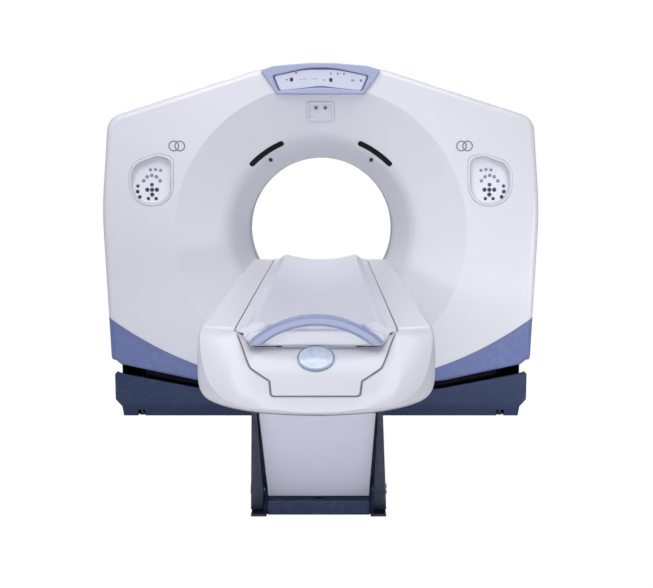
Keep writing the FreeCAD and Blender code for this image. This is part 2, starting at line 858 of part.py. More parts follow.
keep(
    group(
        "tilt_bushes",
        *[
            cut(
                "bush_" + word,
                rod("bush_outside_" + word, "x", "trunnion_radius + bush_wall", start, 100, (0, "iso_height")),
                rod("bush_inside_" + word, "x", "trunnion_radius + running_gap", start - 1, 102, (0, "iso_height")),
            )
            for word, start in (("right", 940), ("left", -1040))
        ]
    )
)
base_blank = slab(
    "base_blank",
    "front",
    "- half_depth - 2",
    "2 * half_depth + 4",
    outline(
        both(
            [
                (S.keel_half - 20, S.base_waist, 300),
                (S.base_half, S.base_top, 8),
                (S.base_half, S.base_shoulder, 12),
                (S.plinth_half, S.plinth_height, 10),
                (S.plinth_half - 8, 0),
            ]
        )
    ),
)



def swing(gap):
    """What the covers sweep as they tilt, and gap more: (across, out from the tilt axis)."""
    reach = math.hypot(S.half_depth, S.iso_height - S.skirt_height)
    right = [
        (S.half_width - 20, reach + gap),
        (S.half_width - 73, math.hypot(S.half_depth, S.iso_height - S.skirt_height + 41) + gap),
        (S.keel_half, math.hypot(S.half_depth, S.iso_height - S.keel_height) + gap),
    ]
    ends = [(-1300, 0), (1300, 0), (1300, reach - 60)]
    return ends + right + [(-x, r) for x, r in reversed(right)] + [(-1300, reach - 60)]


trough = turned("base_trough", outline(swing(S.tilt_gap)), "x")
foot_notches = []
foot_pads = []
for sx, wx in ((-1, "left"), (1, "right")):
    for sy, wy in ((-1, "front"), (1, "rear")):
        x = sx * 954
        y0 = -S.half_depth - 3 if sy < 0 else S.half_depth - 57
        foot_notches.append(block("foot_notch_%s_%s" % (wx, wy), x - 19, x + 19, y0, y0 + 60, -1, 32))
        foot_pads.append(rod("foot_%s_%s" % (wx, wy), "z", 15, 0, 32, (x, sy * (S.half_depth - 27))))
tower_sockets = [
    block("tower_socket_" + word, x, x + 100, -46, 46, 60, 200) for word, x in (("right", 940), ("left", -1040))
]
keep(cut("gantry_base", base_blank, trough, *foot_notches, *tower_sockets))

# Dark skirts close the gap between the covers and the base; they tilt with the covers, clear the trough and
# end beside the towers.
skirt_blank = slab(
    "skirt_blank",
    "front",
    "- half_depth + cover_wall",
    58,
    outline(
        both(
            [
                (S.keel_half - 8, S.keel_height + 15),
                (S.half_width - 79, S.skirt_height - 41 + 14),
                (S.half_width - 79, 90),
            ]
        )
    ),
)
front_skirt = cut(
    "front_skirt",
    common("front_skirt_whole", skirt_blank, turned("skirt_limit", outline(swing(2)), "x")),
    *[
        block("skirt_end_" + word, x, x + 200, "- half_depth", "- half_depth + 80", 60, 400)
        for word, x in (("right", S.tower_inner - 12), ("left", 12 - S.tower_inner - 200))
    ],
)
keep(group("lower_skirts", front_skirt, mirrored("rear_skirt", front_skirt, Vector(0, 1, 0))))
keep(group("levelling_feet", *foot_pads))

# ---------------------------------------------------------------- table: fixed foot
FRONT_PIVOT_Y = -S.front_pivot
REAR_PIVOT_Y = -S.front_pivot + S.leg_spacing
PIVOT_Z = S.leg_pivot_height
FLOOR_FRONT = -S.front_pivot - 31
keep(block("cable_duct", -110, 110, "- table_near_end + 30", "- half_depth - 2", 0, 62))
foot_plate = block("foot_plate", -208, 208, FLOOR_FRONT, "- table_near_end + 30", 0, 14)
foot_parts = [foot_plate, block("foot_front_bar", -191, 191, FLOOR_FRONT, FLOOR_FRONT + 18, 14, 54)]


def lug(name, x0, x1, y, pivot_z, foot_z, radius, spread):
    """A plate with a round eye, standing on foot_z."""
    low = foot_z
    corners = [(y - spread, low), (y + spread, low)]
    if pivot_z > foot_z:
        corners += [(y + radius, pivot_z + radius, radius - 2), (y - radius, pivot_z + radius, radius - 2)]
    else:
        corners += [(y + radius, pivot_z - radius, radius - 2), (y - radius, pivot_z - radius, radius - 2)]
    return slab(name, "side", x0, x1 - x0, outline(corners))


for word, sign in (("right", 1), ("left", -1)):
    a0, a1 = sorted((sign * 194, sign * 205))
    foot_parts.append(lug("front_lug_" + word, a0, a1, FRONT_PIVOT_Y + 8, PIVOT_Z, 14, 42, 39))
    b0, b1 = sorted((sign * 173, sign * 193))
    foot_parts.append(lug("rear_lug_" + word, b0, b1, REAR_PIVOT_Y, PIVOT_Z, 14, 42, 70))
foot_parts.append(block("foot_rib", -12, 12, FRONT_PIVOT_Y + 115, "- table_near_end - 10", 14, 40))
pin_holes = [
    rod("foot_pin_hole_front", "x", "pin_radius", -230, 460, (FRONT_PIVOT_Y, PIVOT_Z)),
    rod("foot_pin_hole_rear", "x", "pin_radius", -230, 460, (REAR_PIVOT_Y, PIVOT_Z)),
]
keep(cut("table_foot", fuse("table_foot_blank", *foot_parts), *pin_holes))
keep(
    rounded(
        "toe_kick",
        block("toe_kick_blank", -193, 193, FLOOR_FRONT - 12, FLOOR_FRONT, 2, 58),
        5,
        lambda m, e: m.y < FLOOR_FRONT - 11.9 and m.z > 57,
    )
)

# ---------------------------------------------------------------- legs
LEG = math.radians(S.leg_angle)


def from_pivot(y, u, n):
    """A point u along a leg and n in front of its line, for the leg whose lower pin is at y."""
    return (
        y - u * math.cos(LEG) - n * math.sin(LEG),
        PIVOT_Z + u * math.sin(LEG) - n * math.cos(LEG),
    )


def leg_side(y, hub, top):
    """A leg's side view: a big eye below, a small one above."""
    span = S.leg_length
    lean = math.asin((hub - top) / span)
    a, b = math.sin(lean), math.cos(lean)

    def at(u, n):
        p = from_pivot(y, u, n)
        return Vector(p[0], p[1], 0)

    return [
        Part.LineSegment(at(hub * a, hub * b), at(span + top * a, top * b)),
        Part.Arc(at(span + top * a, top * b), at(span + top, 0), at(span + top * a, -top * b)),
        Part.LineSegment(at(span + top * a, -top * b), at(hub * a, -hub * b)),
        Part.Arc(at(hub * a, -hub * b), at(-hub, 0), at(hub * a, hub * b)),
    ]


def wedge(name, sign, inner_low, inner_high, outer_low, outer_high):
    """What a tapering arm keeps of its plate, seen square to the leg."""
    made = slab(
        name,
        "plan",
        -300,
        600,
        [
            Part.LineSegment(a, b)
            for a, b in zip(
                [Vector(sign * x, u, 0) for x, u in ((inner_low, 90), (outer_low, 90), (outer_high, -800), (inner_high, -800))],
                [Vector(sign * x, u, 0) for x, u in ((outer_low, 90), (outer_high, -800), (inner_high, -800), (inner_low, 90))],
            )
        ],
    )
    made.Placement = Placement(
        Vector(0, FRONT_PIVOT_Y, PIVOT_Z), Rotation(Vector(1, 0, 0), -S.leg_angle)
    )
    return made


arms = []
for word, sign in (("right", 1), ("left", -1)):
    x0 = 190 if sign > 0 else -268
    plate = slab("front_arm_plate_" + word, "side", x0, 78, leg_side(FRONT_PIVOT_Y, 78, 48))
    arms.append(common("front_arm_" + word, plate, wedge("arm_taper_" + word, sign, 210, 195, S.foot_half, 205)))


def cross_tube(name, y, u, radius, half, n=0):
    return rod(name, "x", radius, -half, 2 * half, from_pivot(y, u, n))


front_leg_blank = fuse(
    "front_leg_blank",
    *arms,
    cross_tube("front_leg_tube_low", FRONT_PIVOT_Y, 170, 24, 206, -6),
    cross_tube("front_leg_tube_high", FRONT_PIVOT_Y, 560, 24, 200, -6),
    slab(
        "front_leg_web",
        "side",
        -204,
        408,
        outline([from_pivot(FRONT_PIVOT_Y, u, n) for u, n in ((62, 8), (612, 8), (612, 3), (62, 3))]),
    ),
)
front_top = from_pivot(FRONT_PIVOT_Y, S.leg_length, 0)
rear_top = from_pivot(REAR_PIVOT_Y, S.leg_length, 0)
keep(
    cut(
        "front_leg",
        front_leg_blank,
        rod("front_leg_hole_low", "x", "pin_radius + running_gap", -280, 560, (FRONT_PIVOT_Y, PIVOT_Z)),
        rod("front_leg_hole_high", "x", "pin_radius + running_gap", -280, 560, front_top),
    )
)
cover_corners = [from_pivot(FRONT_PIVOT_Y, u, n) for u, n in ((-8, 32), (648, 32), (648, 28), (-8, 28))]
cover_sheet = slab("leg_cover_sheet", "side", -191, 382, outline(cover_corners))
cover_tabs = [
    slab(
        "leg_cover_tab_%d" % i,
        "side",
        -60 + 90 * k,
        30,
        outline([from_pivot(FRONT_PIVOT_Y, u, n) for u, n in ((u0 - 12, 28), (u0 + 12, 28), (u0 + 12, 18.02), (u0 - 12, 18.02))]),
    )
    for i, (u0, k) in enumerate([(170, 0), (170, 1), (560, 0), (560, 1)])
]
keep(fuse("leg_cover", cover_sheet, *cover_tabs))

rear_arms = []
for word, sign in (("right", 1), ("left", -1)):
    x0 = 150 if sign > 0 else -171
    rear_arms.append(slab("rear_arm_" + word, "side", x0, 21, leg_side(REAR_PIVOT_Y, 60, 42)))
keep(
    cut(
        "rear_leg",
        fuse(
            "rear_leg_blank",
            *rear_arms,
            cross_tube("rear_leg_tube_low", REAR_PIVOT_Y, 150, 24, 160),
            cross_tube("rear_leg_tube_high", REAR_PIVOT_Y, 560, 24, 160),
        ),
        rod("rear_leg_hole_low", "x", "pin_radius + running_gap", -260, 520, (REAR_PIVOT_Y, PIVOT_Z)),
        rod("rear_leg_hole_high", "x", "pin_radius + running_gap", -260, 520, rear_top),
    )
)
keep(
    group(
        "foot_pins",
        rod("foot_pin_front_right", "x", "pin_radius", 193.5, 66.5, (FRONT_PIVOT_Y, PIVOT_Z)),
        rod("foot_pin_front_left", "x", "pin_radius", -260, 66.5, (FRONT_PIVOT_Y, PIVOT_Z)),
        rod("foot_pin_rear_right", "x", "pin_radius", 148, 45, (REAR_PIVOT_Y, PIVOT_Z)),
        rod("foot_pin_rear_left", "x", "pin_radius", -193, 45, (REAR_PIVOT_Y, PIVOT_Z)),
    )
)

# ---------------------------------------------------------------- table: lifted frame
END_Y = -S.table_near_end
ROLLER_RADIUS = 26
ROLLER_Y = END_Y - 390
ROLLER_Z = S.cradle_bottom - ROLLER_RADIUS - 0.3
side_corners = [
    (END_Y - 60, 786),
    (END_Y - 60, 762),
    (END_Y - 420, 662),
    (rear_top[0] + 95, 662),
    (rear_top[0] + 42, rear_top[1] - 42, 41.9),
    (rear_top[0] - 42, rear_top[1] - 42, 41.9),
    (rear_top[0] - 95, 662),
    (front_top[0] + 95, 662),
    (front_top[0] + 42, front_top[1] - 42, 41.9),
    (front_top[0] - 42, front_top[1] - 42, 41.9),
    (front_top[0] - 95, 662),
    (-S.cradle_foot + 40, 690),
    (-S.cradle_foot + 40, 786),
]
frame_bits = []
for word, low in (("right", "rail_half - rail_thickness / 2"), ("left", "- rail_half - rail_thickness / 2")):
    frame_bits.append(slab("frame_side_" + word, "side", low, "rail_thickness", outline(side_corners)))
for i, y in enumerate((78 - S.cradle_foot, END_Y - 1530, END_Y - 830, END_Y - 110)):
    z0 = 745 if i == 3 else 690
    frame_bits.append(block("frame_cross_%d" % i, -172, 172, y - 25, y + 25, z0, 770))
frame_bits.append(block("roller_cheek_right", 44, 52, ROLLER_Y - 20, ROLLER_Y + 20, 690, 786))
frame_bits.append(block("roller_cheek_left", -52, -44, ROLLER_Y - 20, ROLLER_Y + 20, 690, 786))
frame_bits.append(block("roller_floor", -172, 172, ROLLER_Y - 40, ROLLER_Y + 40, 690, 698))
keep(
    cut(
        "table_frame",
        fuse("table_frame_blank", *frame_bits),
        rod("roller_bore", "x", 9.05, -60, 120, (ROLLER_Y, ROLLER_Z)),
        rod("frame_hole_front", "x", "pin_radius", -230, 460, front_top),
        rod("frame_hole_rear", "x", "pin_radius", -230, 460, rear_top),
    )
)
keep(
    group(
        "frame_pins",
        rod("frame_pin_front_right", "x", "pin_radius", 170, 42, front_top),
        rod("frame_pin_front_left", "x", "pin_radius", -212, 42, front_top),
        rod("frame_pin_rear_right", "x", "pin_radius", 148, 44, rear_top),
        rod("frame_pin_rear_left", "x", "pin_radius", -192, 44, rear_top),
    )
)
keep(
    group(
        "guide_rails",
        block("guide_rail_right", 172, 192, "- cradle_foot + 44", END_Y - 64, 786, 796),
        block("guide_rail_left", -192, -172, "- cradle_foot + 44", END_Y - 64, 786, 796),
    )
)

# ---------------------------------------------------------------- table cover with its rounded nose
def plan(inset):
    """The table's outline from above, drawn in by inset: square beside the gantry, half an oval at the foot."""
    w = S.table_half - inset
    reach = S.nose_end - S.nose_start - inset
    near = -S.table_near_end - inset
    start = -S.nose_start
    return [
        Part.LineSegment(Vector(-w, start, 0), Vector(-w, near, 0)),
        Part.LineSegment(Vector(-w, near, 0), Vector(w, near, 0)),
        Part.LineSegment(Vector(w, near, 0), Vector(w, start, 0)),
        oval(w, start, reach),
    ]


def oval(w, start, reach):
    """The nose: a smooth curve a little squarer than half an ellipse."""
    power = 2.15
    points = []
    for k in range(0, 17):
        a = math.pi * k / 16
        c, s = math.cos(a), math.sin(a)
        points.append(
            Vector(math.copysign(abs(c) ** (2 / power), c) * w, start - reach * abs(s) ** (2 / power), 0)
        )
    curve = Part.BSplineCurve()
    curve.interpolate(points, False)
    return curve


LEVELS = ((640, 30), (652, 13), (668, 4), (694, 0), (752, 0), (800, 2), (830, 7), (846, 20))
cover_body = add("Part::Loft", "table_cover_body")
cover_body.Sections = [sketch("cover_level_%d" % z, "plan", z, plan(inset)) for z, inset in LEVELS]
cover_body.Solid = True
cover_body.Ruled = False
hollow_body = add("Part::Loft", "table_cover_hollow")
hollow_body.Sections = [
    sketch("hollow_level_%d" % z, "plan", z - 4 if z > 700 else z - 8, plan(inset + 5)) for z, inset in LEVELS
]
hollow_body.Solid = True
hollow_body.Ruled = False

# The top of the nose falls from the cradle's foot towards the lip. Each row: how far in front of the cradle's
# foot, the height in the middle, the height beside the nose panel, and how much more it falls at the wall.
SCOOP = (
    (-138, 852, 852, 0),
    (-98, 850, 850, 2),
    (-38, 820, 846.6, 6),
    (4, 793, 841, 20),
    (32, 787, 829, 32),
    (62, 771, 803, 40),
    (96, 749, 770, 44),
    (146, 722, 732, 44),
    (182, 704, 709, 40),
    (212, 689, 691, 34),
    (252, 668, 668, 26),
    (310, 632, 632, 20),
)
ACROSS = (0, 0.15, 0.3, 0.42, 0.5, 0.55, 0.6, 0.65, 0.7, 0.76, 0.83, 0.9, 0.96, 1.0, 1.06, 1.14)


def scoop(name, drop):
    """All that lies above the nose's skin, lowered by drop."""
    sections = []
    for ahead, middle, side, fall in SCOOP:
        forward = max(0.0, (ahead + S.cradle_foot - S.nose_start) / S.nose_length)
        half = max(150.0, S.table_half * max(0.0, 1 - forward ** 2.15) ** (1 / 2.15))
        right = []
        for share in ACROSS:
            x = share * half
            rise = min(1.0, max(0.0, (x - 178) / 60))
            z = middle + (side - middle) * rise * rise * (3 - 2 * rise) - fall * share ** 8
            right.append(Vector(x, z - drop, 0))
        points = [Vector(-p.x, p.y, 0) for p in reversed(right[1:])] + right
        curve = Part.BSplineCurve()
        curve.interpolate(points, False)
        edges = [
            curve,
            Part.LineSegment(points[-1], Vector(450, 1100, 0)),
            Part.LineSegment(Vector(450, 1100, 0), Vector(-450, 1100, 0)),
            Part.LineSegment(Vector(-450, 1100, 0), points[0]),
        ]
        sections.append(sketch("%s_%d" % (name, len(sections)), "front", -S.cradle_foot - ahead, edges))
    made = add("Part::Loft", name)
    made.Sections = sections
    made.Solid = True
    made.Ruled = False
    return made


nose_air = scoop("nose_air", 0)
nose_air_low = scoop("nose_air_low", 5)
near_taper = slab(
    "near_taper",
    "side",
    -500,
    1000,
    outline([(END_Y + 40, 500), (END_Y + 40, 770), (END_Y - 420, 637), (END_Y - 420, 500)]),
)
cover_outer = cut("table_cover_outer", cover_body, nose_air, near_taper)
cover_inner = cut("table_cover_inner", hollow_body, nose_air_low)
recess = block("recess", "- recess_half", "recess_half", "- cradle_foot - 3.5", 0, 640, 1200)
recess_walls = [
    block("recess_wall_foot", "- recess_half - 4", "recess_half + 4", "- cradle_foot - 7.5", "- cradle_foot - 3.5", 700, 790)
]
for word, near, far in (("right", "recess_half", "recess_half + 4"), ("left", "- recess_half - 4", "- recess_half")):
    recess_walls.append(block("recess_wall_" + word, near, far, "- cradle_foot + 38", END_Y - 1, 780, 844))
    recess_walls.append(block("recess_wall_end_" + word, near, far, "- cradle_foot - 7.5", "- cradle_foot + 38", 780, 834))
# Ledges below the walls rest against the lifted frame.
for i, y in enumerate((END_Y - 200, END_Y - 1000, END_Y - 1800)):
    recess_walls.append(block("cover_ledge_right_%d" % i, "rail_half + rail_thickness / 2", "recess_half + 4", y - 60, y, 778, 784))
    recess_walls.append(block("cover_ledge_left_%d" % i, "- recess_half - 4", "- rail_half - rail_thickness / 2", y - 60, y, 778, 784))
# Shelves below the skin carry the nose panel.
panel_shelves = group(
    "panel_shelves",
    common(
        "panel_shelf_high",
        block("panel_shelf_high_block", -140, 140, "- cradle_foot - 40", "- cradle_foot - 7.5", 766, 800),
        cover_inner,
    ),
    common(
        "panel_shelf_low",
        block("panel_shelf_low_block", -100, 100, "- cradle_foot - 224", "- cradle_foot - 186", 668, 720),
        cover_inner,
    ),
)
# The nose panel's outline from above: (across, in front of the cradle's foot, rounding radius).
PANEL = [
    (-232, 10, 2),
    (-226, 26, 12),
    (-188, 96, 14),
    (-130, 146, 8),
    (-123, 204, 12),
    (123, 204, 12),
    (130, 146, 8),
    (188, 96, 14),
    (226, 26, 12),
    (232, 10, 2),
]


def panel_outline(gap):
    """The nose panel's outline, drawn in by gap."""
    inward = [
        (x - math.copysign(gap, x), -S.cradle_foot - ahead + (-gap if ahead < 20 else gap), radius)
        for x, ahead, radius in PANEL
    ]
    return outline(inward)


panel_hole = slab("nose_panel_hole", "plan", 500, 500, panel_outline(0))
panel_plug = slab("nose_panel_plug", "plan", 500, 500, panel_outline(3))
cover_skin = cut("table_cover_skin", cover_outer, cover_inner, recess)
cover_open = cut("table_cover_open", fuse("table_cover_blank", cover_skin, *recess_walls), panel_hole)
keep(fuse("table_cover", cover_open, panel_shelves))
nose_skin = cut("nose_skin", cover_outer, cover_inner)
panel_sheet = common("nose_panel_sheet", nose_skin, panel_plug)
keep(panel_sheet)
panel_sheet.Label = "nose_panel"
pieces["nose_panel"] = pieces.pop("nose_panel_sheet")

# ---------------------------------------------------------------- cradle
T = S.table_height
cradle_edges = [
    Part.Arc(Vector(-168, T + 23, 0), Vector(0, T - 1, 0), Vector(168, T + 23, 0)),
    Part.Arc(Vector(168, T + 23, 0), Vector(178, T + 24, 0), Vector(187, T + 19, 0)),
    Part.LineSegment(Vector(187, T + 19, 0), Vector(206, T + 4, 0)),
    Part.LineSegment(Vector(206, T + 4, 0), Vector(S.cradle_half, T + 1, 0)),
    Part.LineSegment(Vector(S.cradle_half, T + 1, 0), Vector(S.cradle_half, T - 7, 0)),
    Part.LineSegment(Vector(S.cradle_half, T - 7, 0), Vector(212, T - 12, 0)),
    Part.LineSegment(Vector(212, T - 12, 0), Vector(206, S.cradle_bottom, 0)),
    Part.LineSegment(Vector(206, S.cradle_bottom, 0), Vector(-206, S.cradle_bottom, 0)),
    Part.LineSegment(Vector(-206, S.cradle_bottom, 0), Vector(-212, T - 12, 0)),
    Part.LineSegment(Vector(-212, T - 12, 0), Vector(-S.cradle_half, T - 7, 0)),
    Part.LineSegment(Vector(-S.cradle_half, T - 7, 0), Vector(-S.cradle_half, T + 1, 0)),
    Part.LineSegment(Vector(-S.cradle_half, T + 1, 0), Vector(-206, T + 4, 0)),
    Part.LineSegment(Vector(-206, T + 4, 0), Vector(-187, T + 19, 0)),
    Part.Arc(Vector(-187, T + 19, 0), Vector(-178, T + 24, 0), Vector(-168, T + 23, 0)),
]
keep(slab("cradle", "front", "- cradle_foot", "cradle_foot - table_near_end", cradle_edges))
keep(
    rounded(
        "foot_step",
        slab(
            "foot_step_blank",
            "front",
            "- cradle_foot - 15",
            15,
            outline(
                both(
                    [
                        (150, T - 2, 24),
                        (198, 834, 12),
                        (204, 813, 4),
                        (140, 799, 60),
                    ]
                )
            ),
        ),
        4,
        lambda m, e: m.y < -S.cradle_foot - 14.9 and m.z > 802,
    )
)
handle_edges = [
    Part.Arc(Vector(-193, 812, 0), Vector(0, 892, 0), Vector(193, 812, 0)),
    Part.Arc(Vector(193, 812, 0), Vector(172, 806, 0), Vector(150, 810, 0)),
    Part.Arc(Vector(150, 810, 0), Vector(0, 861, 0), Vector(-150, 810, 0)),
    Part.Arc(Vector(-150, 810, 0), Vector(-172, 806, 0), Vector(-193, 812, 0)),
]
keep(
    rounded(
        "pull_handle",
        slab("pull_handle_blank", "front", "- cradle_foot - 15 - 30", 30, handle_edges),
        8,
        lambda m, e: m.y < -S.cradle_foot - 44.9 and e.Length > 100,
    )
)

# Badge: a plain domed disc on the nose panel.
BADGE_Y = -S.cradle_foot - 62
badge_dome = add("Part::Sphere", "badge_dome")
badge_dome.Radius = 260
badge_disc = rod("badge_disc", "z", 54, -12, 20, (0, 0))
badge_dome.Placement = Placement(Vector(0, 0, -252), Rotation())
badge_blank = common("badge_blank", badge_disc, badge_dome)
badge_blank.Placement = Placement(Vector(0, BADGE_Y, 772), Rotation(Vector(1, 0, 0), 29))
keep(common("nose_badge", badge_blank, nose_air))

# ---------------------------------------------------------------- cradle drive
roller_tyre = rod("roller_tyre", "x", ROLLER_RADIUS, -40, 80, (ROLLER_Y, ROLLER_Z))
roller_shaft = rod("roller_shaft", "x", 9, -52, 104, (ROLLER_Y, ROLLER_Z))
keep(fuse("drive_roller", roller_tyre, roller_shaft))
keep(block("cradle_motor", 53, 160, ROLLER_Y - 38, ROLLER_Y + 38, 698, 774))

# ---------------------------------------------------------------- test of every piece, then the files
doc.recompute()
for piece in doc.Objects:
    state = " ".join(piece.State)
    if "Invalid" in state or "Error" in state:
        raise RuntimeError("%s could not be made: %s" % (piece.Label, state))
os.makedirs("parts", exist_ok=True)
for label, piece in pieces.items():
    shape = piece.Shape
    if shape.isNull() or not shape.isValid() or not shape.Solids:
        raise RuntimeError("%s has no valid solid" % label)
    shape.exportStep("parts/%s.step" % label)
    print("%-22s %d solids %10.1f cm3" % (label, len(shape.Solids), shape.Volume / 1000))
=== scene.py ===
# %% [markdown]
# # A CT scanner in a white studio
# The machine is a ring-shaped gantry of white mouldings on a dark blue base, with a long patient table in
# front of it. Its shapes come from the imported model, one object for each piece. This lesson gives those
# pieces their finishes, adds what is printed on or let into them, and sets up the light and the camera.

# %% Load the imported model
import bpy
import bmesh
import json
import math
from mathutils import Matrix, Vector


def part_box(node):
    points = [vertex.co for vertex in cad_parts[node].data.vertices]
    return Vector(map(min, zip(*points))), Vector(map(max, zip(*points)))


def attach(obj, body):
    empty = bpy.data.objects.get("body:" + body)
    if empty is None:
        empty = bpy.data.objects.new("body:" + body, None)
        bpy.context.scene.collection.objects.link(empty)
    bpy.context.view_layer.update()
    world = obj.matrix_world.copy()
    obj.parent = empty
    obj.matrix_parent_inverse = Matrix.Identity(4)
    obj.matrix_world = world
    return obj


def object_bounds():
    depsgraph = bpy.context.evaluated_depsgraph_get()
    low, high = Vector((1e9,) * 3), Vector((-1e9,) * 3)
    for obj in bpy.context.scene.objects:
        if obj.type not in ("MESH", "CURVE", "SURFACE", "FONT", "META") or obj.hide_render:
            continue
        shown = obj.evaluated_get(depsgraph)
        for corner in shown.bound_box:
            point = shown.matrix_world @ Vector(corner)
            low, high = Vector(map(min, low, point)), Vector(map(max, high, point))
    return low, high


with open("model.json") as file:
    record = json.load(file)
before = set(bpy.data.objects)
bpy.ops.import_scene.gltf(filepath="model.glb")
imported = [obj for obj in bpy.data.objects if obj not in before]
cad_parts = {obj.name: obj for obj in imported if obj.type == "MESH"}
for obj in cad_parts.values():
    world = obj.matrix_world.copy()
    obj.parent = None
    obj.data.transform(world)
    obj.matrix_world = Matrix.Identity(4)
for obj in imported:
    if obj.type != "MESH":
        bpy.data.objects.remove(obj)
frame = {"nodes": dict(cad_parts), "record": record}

scene = bpy.context.scene
nodes = frame["nodes"]
cad_box = [list(corner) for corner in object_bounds()]
print("pieces:", len(nodes), "box:", [[round(v, 3) for v in c] for c in cad_box])

# %% [markdown]
# ## The camera
# The photograph was taken from about five metres in front of the gantry, with the camera at chest height and
# tipped a little down. A field of view comes from two lengths: the frame's width and the focal length, both
# in pixels of the photograph.

# %% Camera
FRAME_WIDTH = 653
FOCAL_PIXELS = 966
SENSOR_WIDTH = 36.0
TIP_DEGREES = 7.5
CAMERA_PLACE = (0.030, -5.509, 1.313)

camera_data = bpy.data.cameras.new("camera")
camera_data.sensor_width = SENSOR_WIDTH
camera_data.lens = SENSOR_WIDTH * FOCAL_PIXELS / FRAME_WIDTH
camera = bpy.data.objects.new("camera", camera_data)
scene.collection.objects.link(camera)
camera.location = CAMERA_PLACE
camera.rotation_euler = (math.radians(90 - TIP_DEGREES), 0, 0)
scene.camera = camera
print("lens %.1f mm, tipped down %.1f degrees" % (camera_data.lens, TIP_DEGREES))

# %% [markdown]
# ## Helpers for node trees
# A shader is a graph of nodes, and each of its sockets takes a plain value or another node's output. One
# helper makes a node and fills its sockets in a single call. Two more cover what nearly every graph needs:
# a value stretched from one range to another, and a product of two values.


# %% Helpers for node trees
def node(tree, kind, feeds=None, **settings):
    """A new node. feeds gives its sockets, by name or number, a value or another node's output."""
    made = tree.nodes.new(kind)
    for key, value in settings.items():
        setattr(made, key, value)
    for key, value in (feeds or {}).items():
        if isinstance(value, bpy.types.NodeSocket):
            tree.links.new(value, made.inputs[key])
        else:
            made.inputs[key].default_value = value
    return made


def ranged(tree, value, start, stop, low=0.0, high=1.0):
    """A value that goes from start to stop, mapped to low to high and held there. Returns the output."""
    feeds = {"Value": value, "From Min": start, "From Max": stop, "To Min": low, "To Max": high}
    return node(tree, "ShaderNodeMapRange", feeds).outputs["Result"]


def times(tree, first, second, **settings):
    """The product of two values. Returns the output."""
    feeds = {0: first, 1: second}
    return node(tree, "ShaderNodeMath", feeds, operation="MULTIPLY", **settings).outputs[0]


print("node helpers ready")

# %% [markdown]
# ## The room
# The world is a pale lilac room, which tints the shaded sides of the white covers. The camera sees plain
# white instead of it: a Light Path node tells camera rays from the others.

# %% World
ROOM_COLOUR = (0.68, 0.70, 0.82, 1)
ROOM_STRENGTH = 0.46
WHITE = (1, 1, 1, 1)

scene.view_settings.view_transform = "Standard"
world = bpy.data.worlds.new("studio")
scene.world = world
world.use_nodes = True
tree = world.node_tree
tree.nodes.clear()
room = node(tree, "ShaderNodeBackground", {"Color": ROOM_COLOUR, "Strength": ROOM_STRENGTH})
seen = node(tree, "ShaderNodeBackground", {"Color": WHITE, "Strength": 1.0})
to_camera = node(tree, "ShaderNodeLightPath").outputs["Is Camera Ray"]
feeds = {"Fac": to_camera, 1: room.outputs["Background"], 2: seen.outputs["Background"]}
chosen = node(tree, "ShaderNodeMixShader", feeds)
node(tree, "ShaderNodeOutputWorld", {"Surface": chosen.outputs["Shader"]})
print("room strength:", ROOM_STRENGTH)

# %% [markdown]
# ## Lamps
# Photographs of white equipment use very large, soft lamps, so that no shadow has a hard edge and the white
# keeps its shape. Here one wide lamp hangs above and in front, and another behind lights the top and the
# back. A narrow one shines across from the left onto the right half of the machine, so the lower left falls
# off and the bore's right lip is bright, and a small one lights the left shoulder. Weak lamps fill from the
# front, from both sides and low down.


# %% Lamps
def lamp(name, place, aim, size, power, colour, spread=180):
    """A rectangular soft lamp that faces a point. A spread under 180 degrees narrows its beam."""
    data = bpy.data.lights.new(name, "AREA")
    data.shape = "RECTANGLE"
    data.spread = math.radians(spread)
    data.size, data.size_y = size
    data.energy = power
    data.color = colour
    made = bpy.data.objects.new(name, data)
    made.location = place
    made.rotation_euler = (Vector(aim) - Vector(place)).to_track_quat("-Z", "Y").to_euler()
    scene.collection.objects.link(made)


lamp("lamp_above", (0.1, -2.7, 4.6), (0, -0.6, 0.9), (4.2, 3.2), 97, (1.0, 1.0, 1.0))
lamp("lamp_front", (0.3, -6.6, 2.4), (0.1, -0.4, 0.9), (3.0, 1.6), 3, (0.98, 0.98, 1.0))
lamp("lamp_cross", (-2.2, -5.0, 2.0), (0.75, -0.4, 0.62), (0.9, 0.9), 1.3, (1.0, 1.0, 0.98), 30)
lamp("lamp_shoulder", (-1.5, -2.2, 3.3), (-0.7, -0.5, 1.6), (1.2, 1.2), 5, (1.0, 1.0, 1.0), 110)
lamp("lamp_right", (4.2, -4.6, 1.8), (0, -0.4, 0.9), (2.6, 2.8), 6.0, (1.0, 0.99, 0.97))
lamp("lamp_right_low", (2.8, -3.4, 0.5), (0.95, -0.45, 0.25), (0.9, 0.9), 3.2, (1.0, 1.0, 0.98), 60)
lamp("lamp_left", (-4.4, -4.0, 2.8), (0, -0.4, 1.3), (2.4, 2.6), 5.6, (0.86, 0.88, 1.0))
lamp("lamp_low", (0, -6.2, 0.45), (0, -2.3, 0.35), (2.2, 0.8), 6.6, (0.95, 0.96, 1.0), 70)
lamp("lamp_behind", (0, 4.2, 3.4), (0, 0, 1.2), (3.6, 2.0), 58, (1.0, 1.0, 1.0))

# %% [markdown]
# ## Floor
# The floor is one large pale sheet, just below the machine's feet. To a camera ray it is mostly a plain white
# glow, so it melts into the background, but a share of its real, lit surface stays and keeps the soft shadow
# under the machine.

# %% Floor
FLOOR_CORNERS = [(-14, -12, 0), (14, -12, 0), (14, 14, 0), (-14, 14, 0)]
FLOOR_GAP = 0.0005
FLOOR_GLOW = 1.08
GLOW_SHARE = 0.90

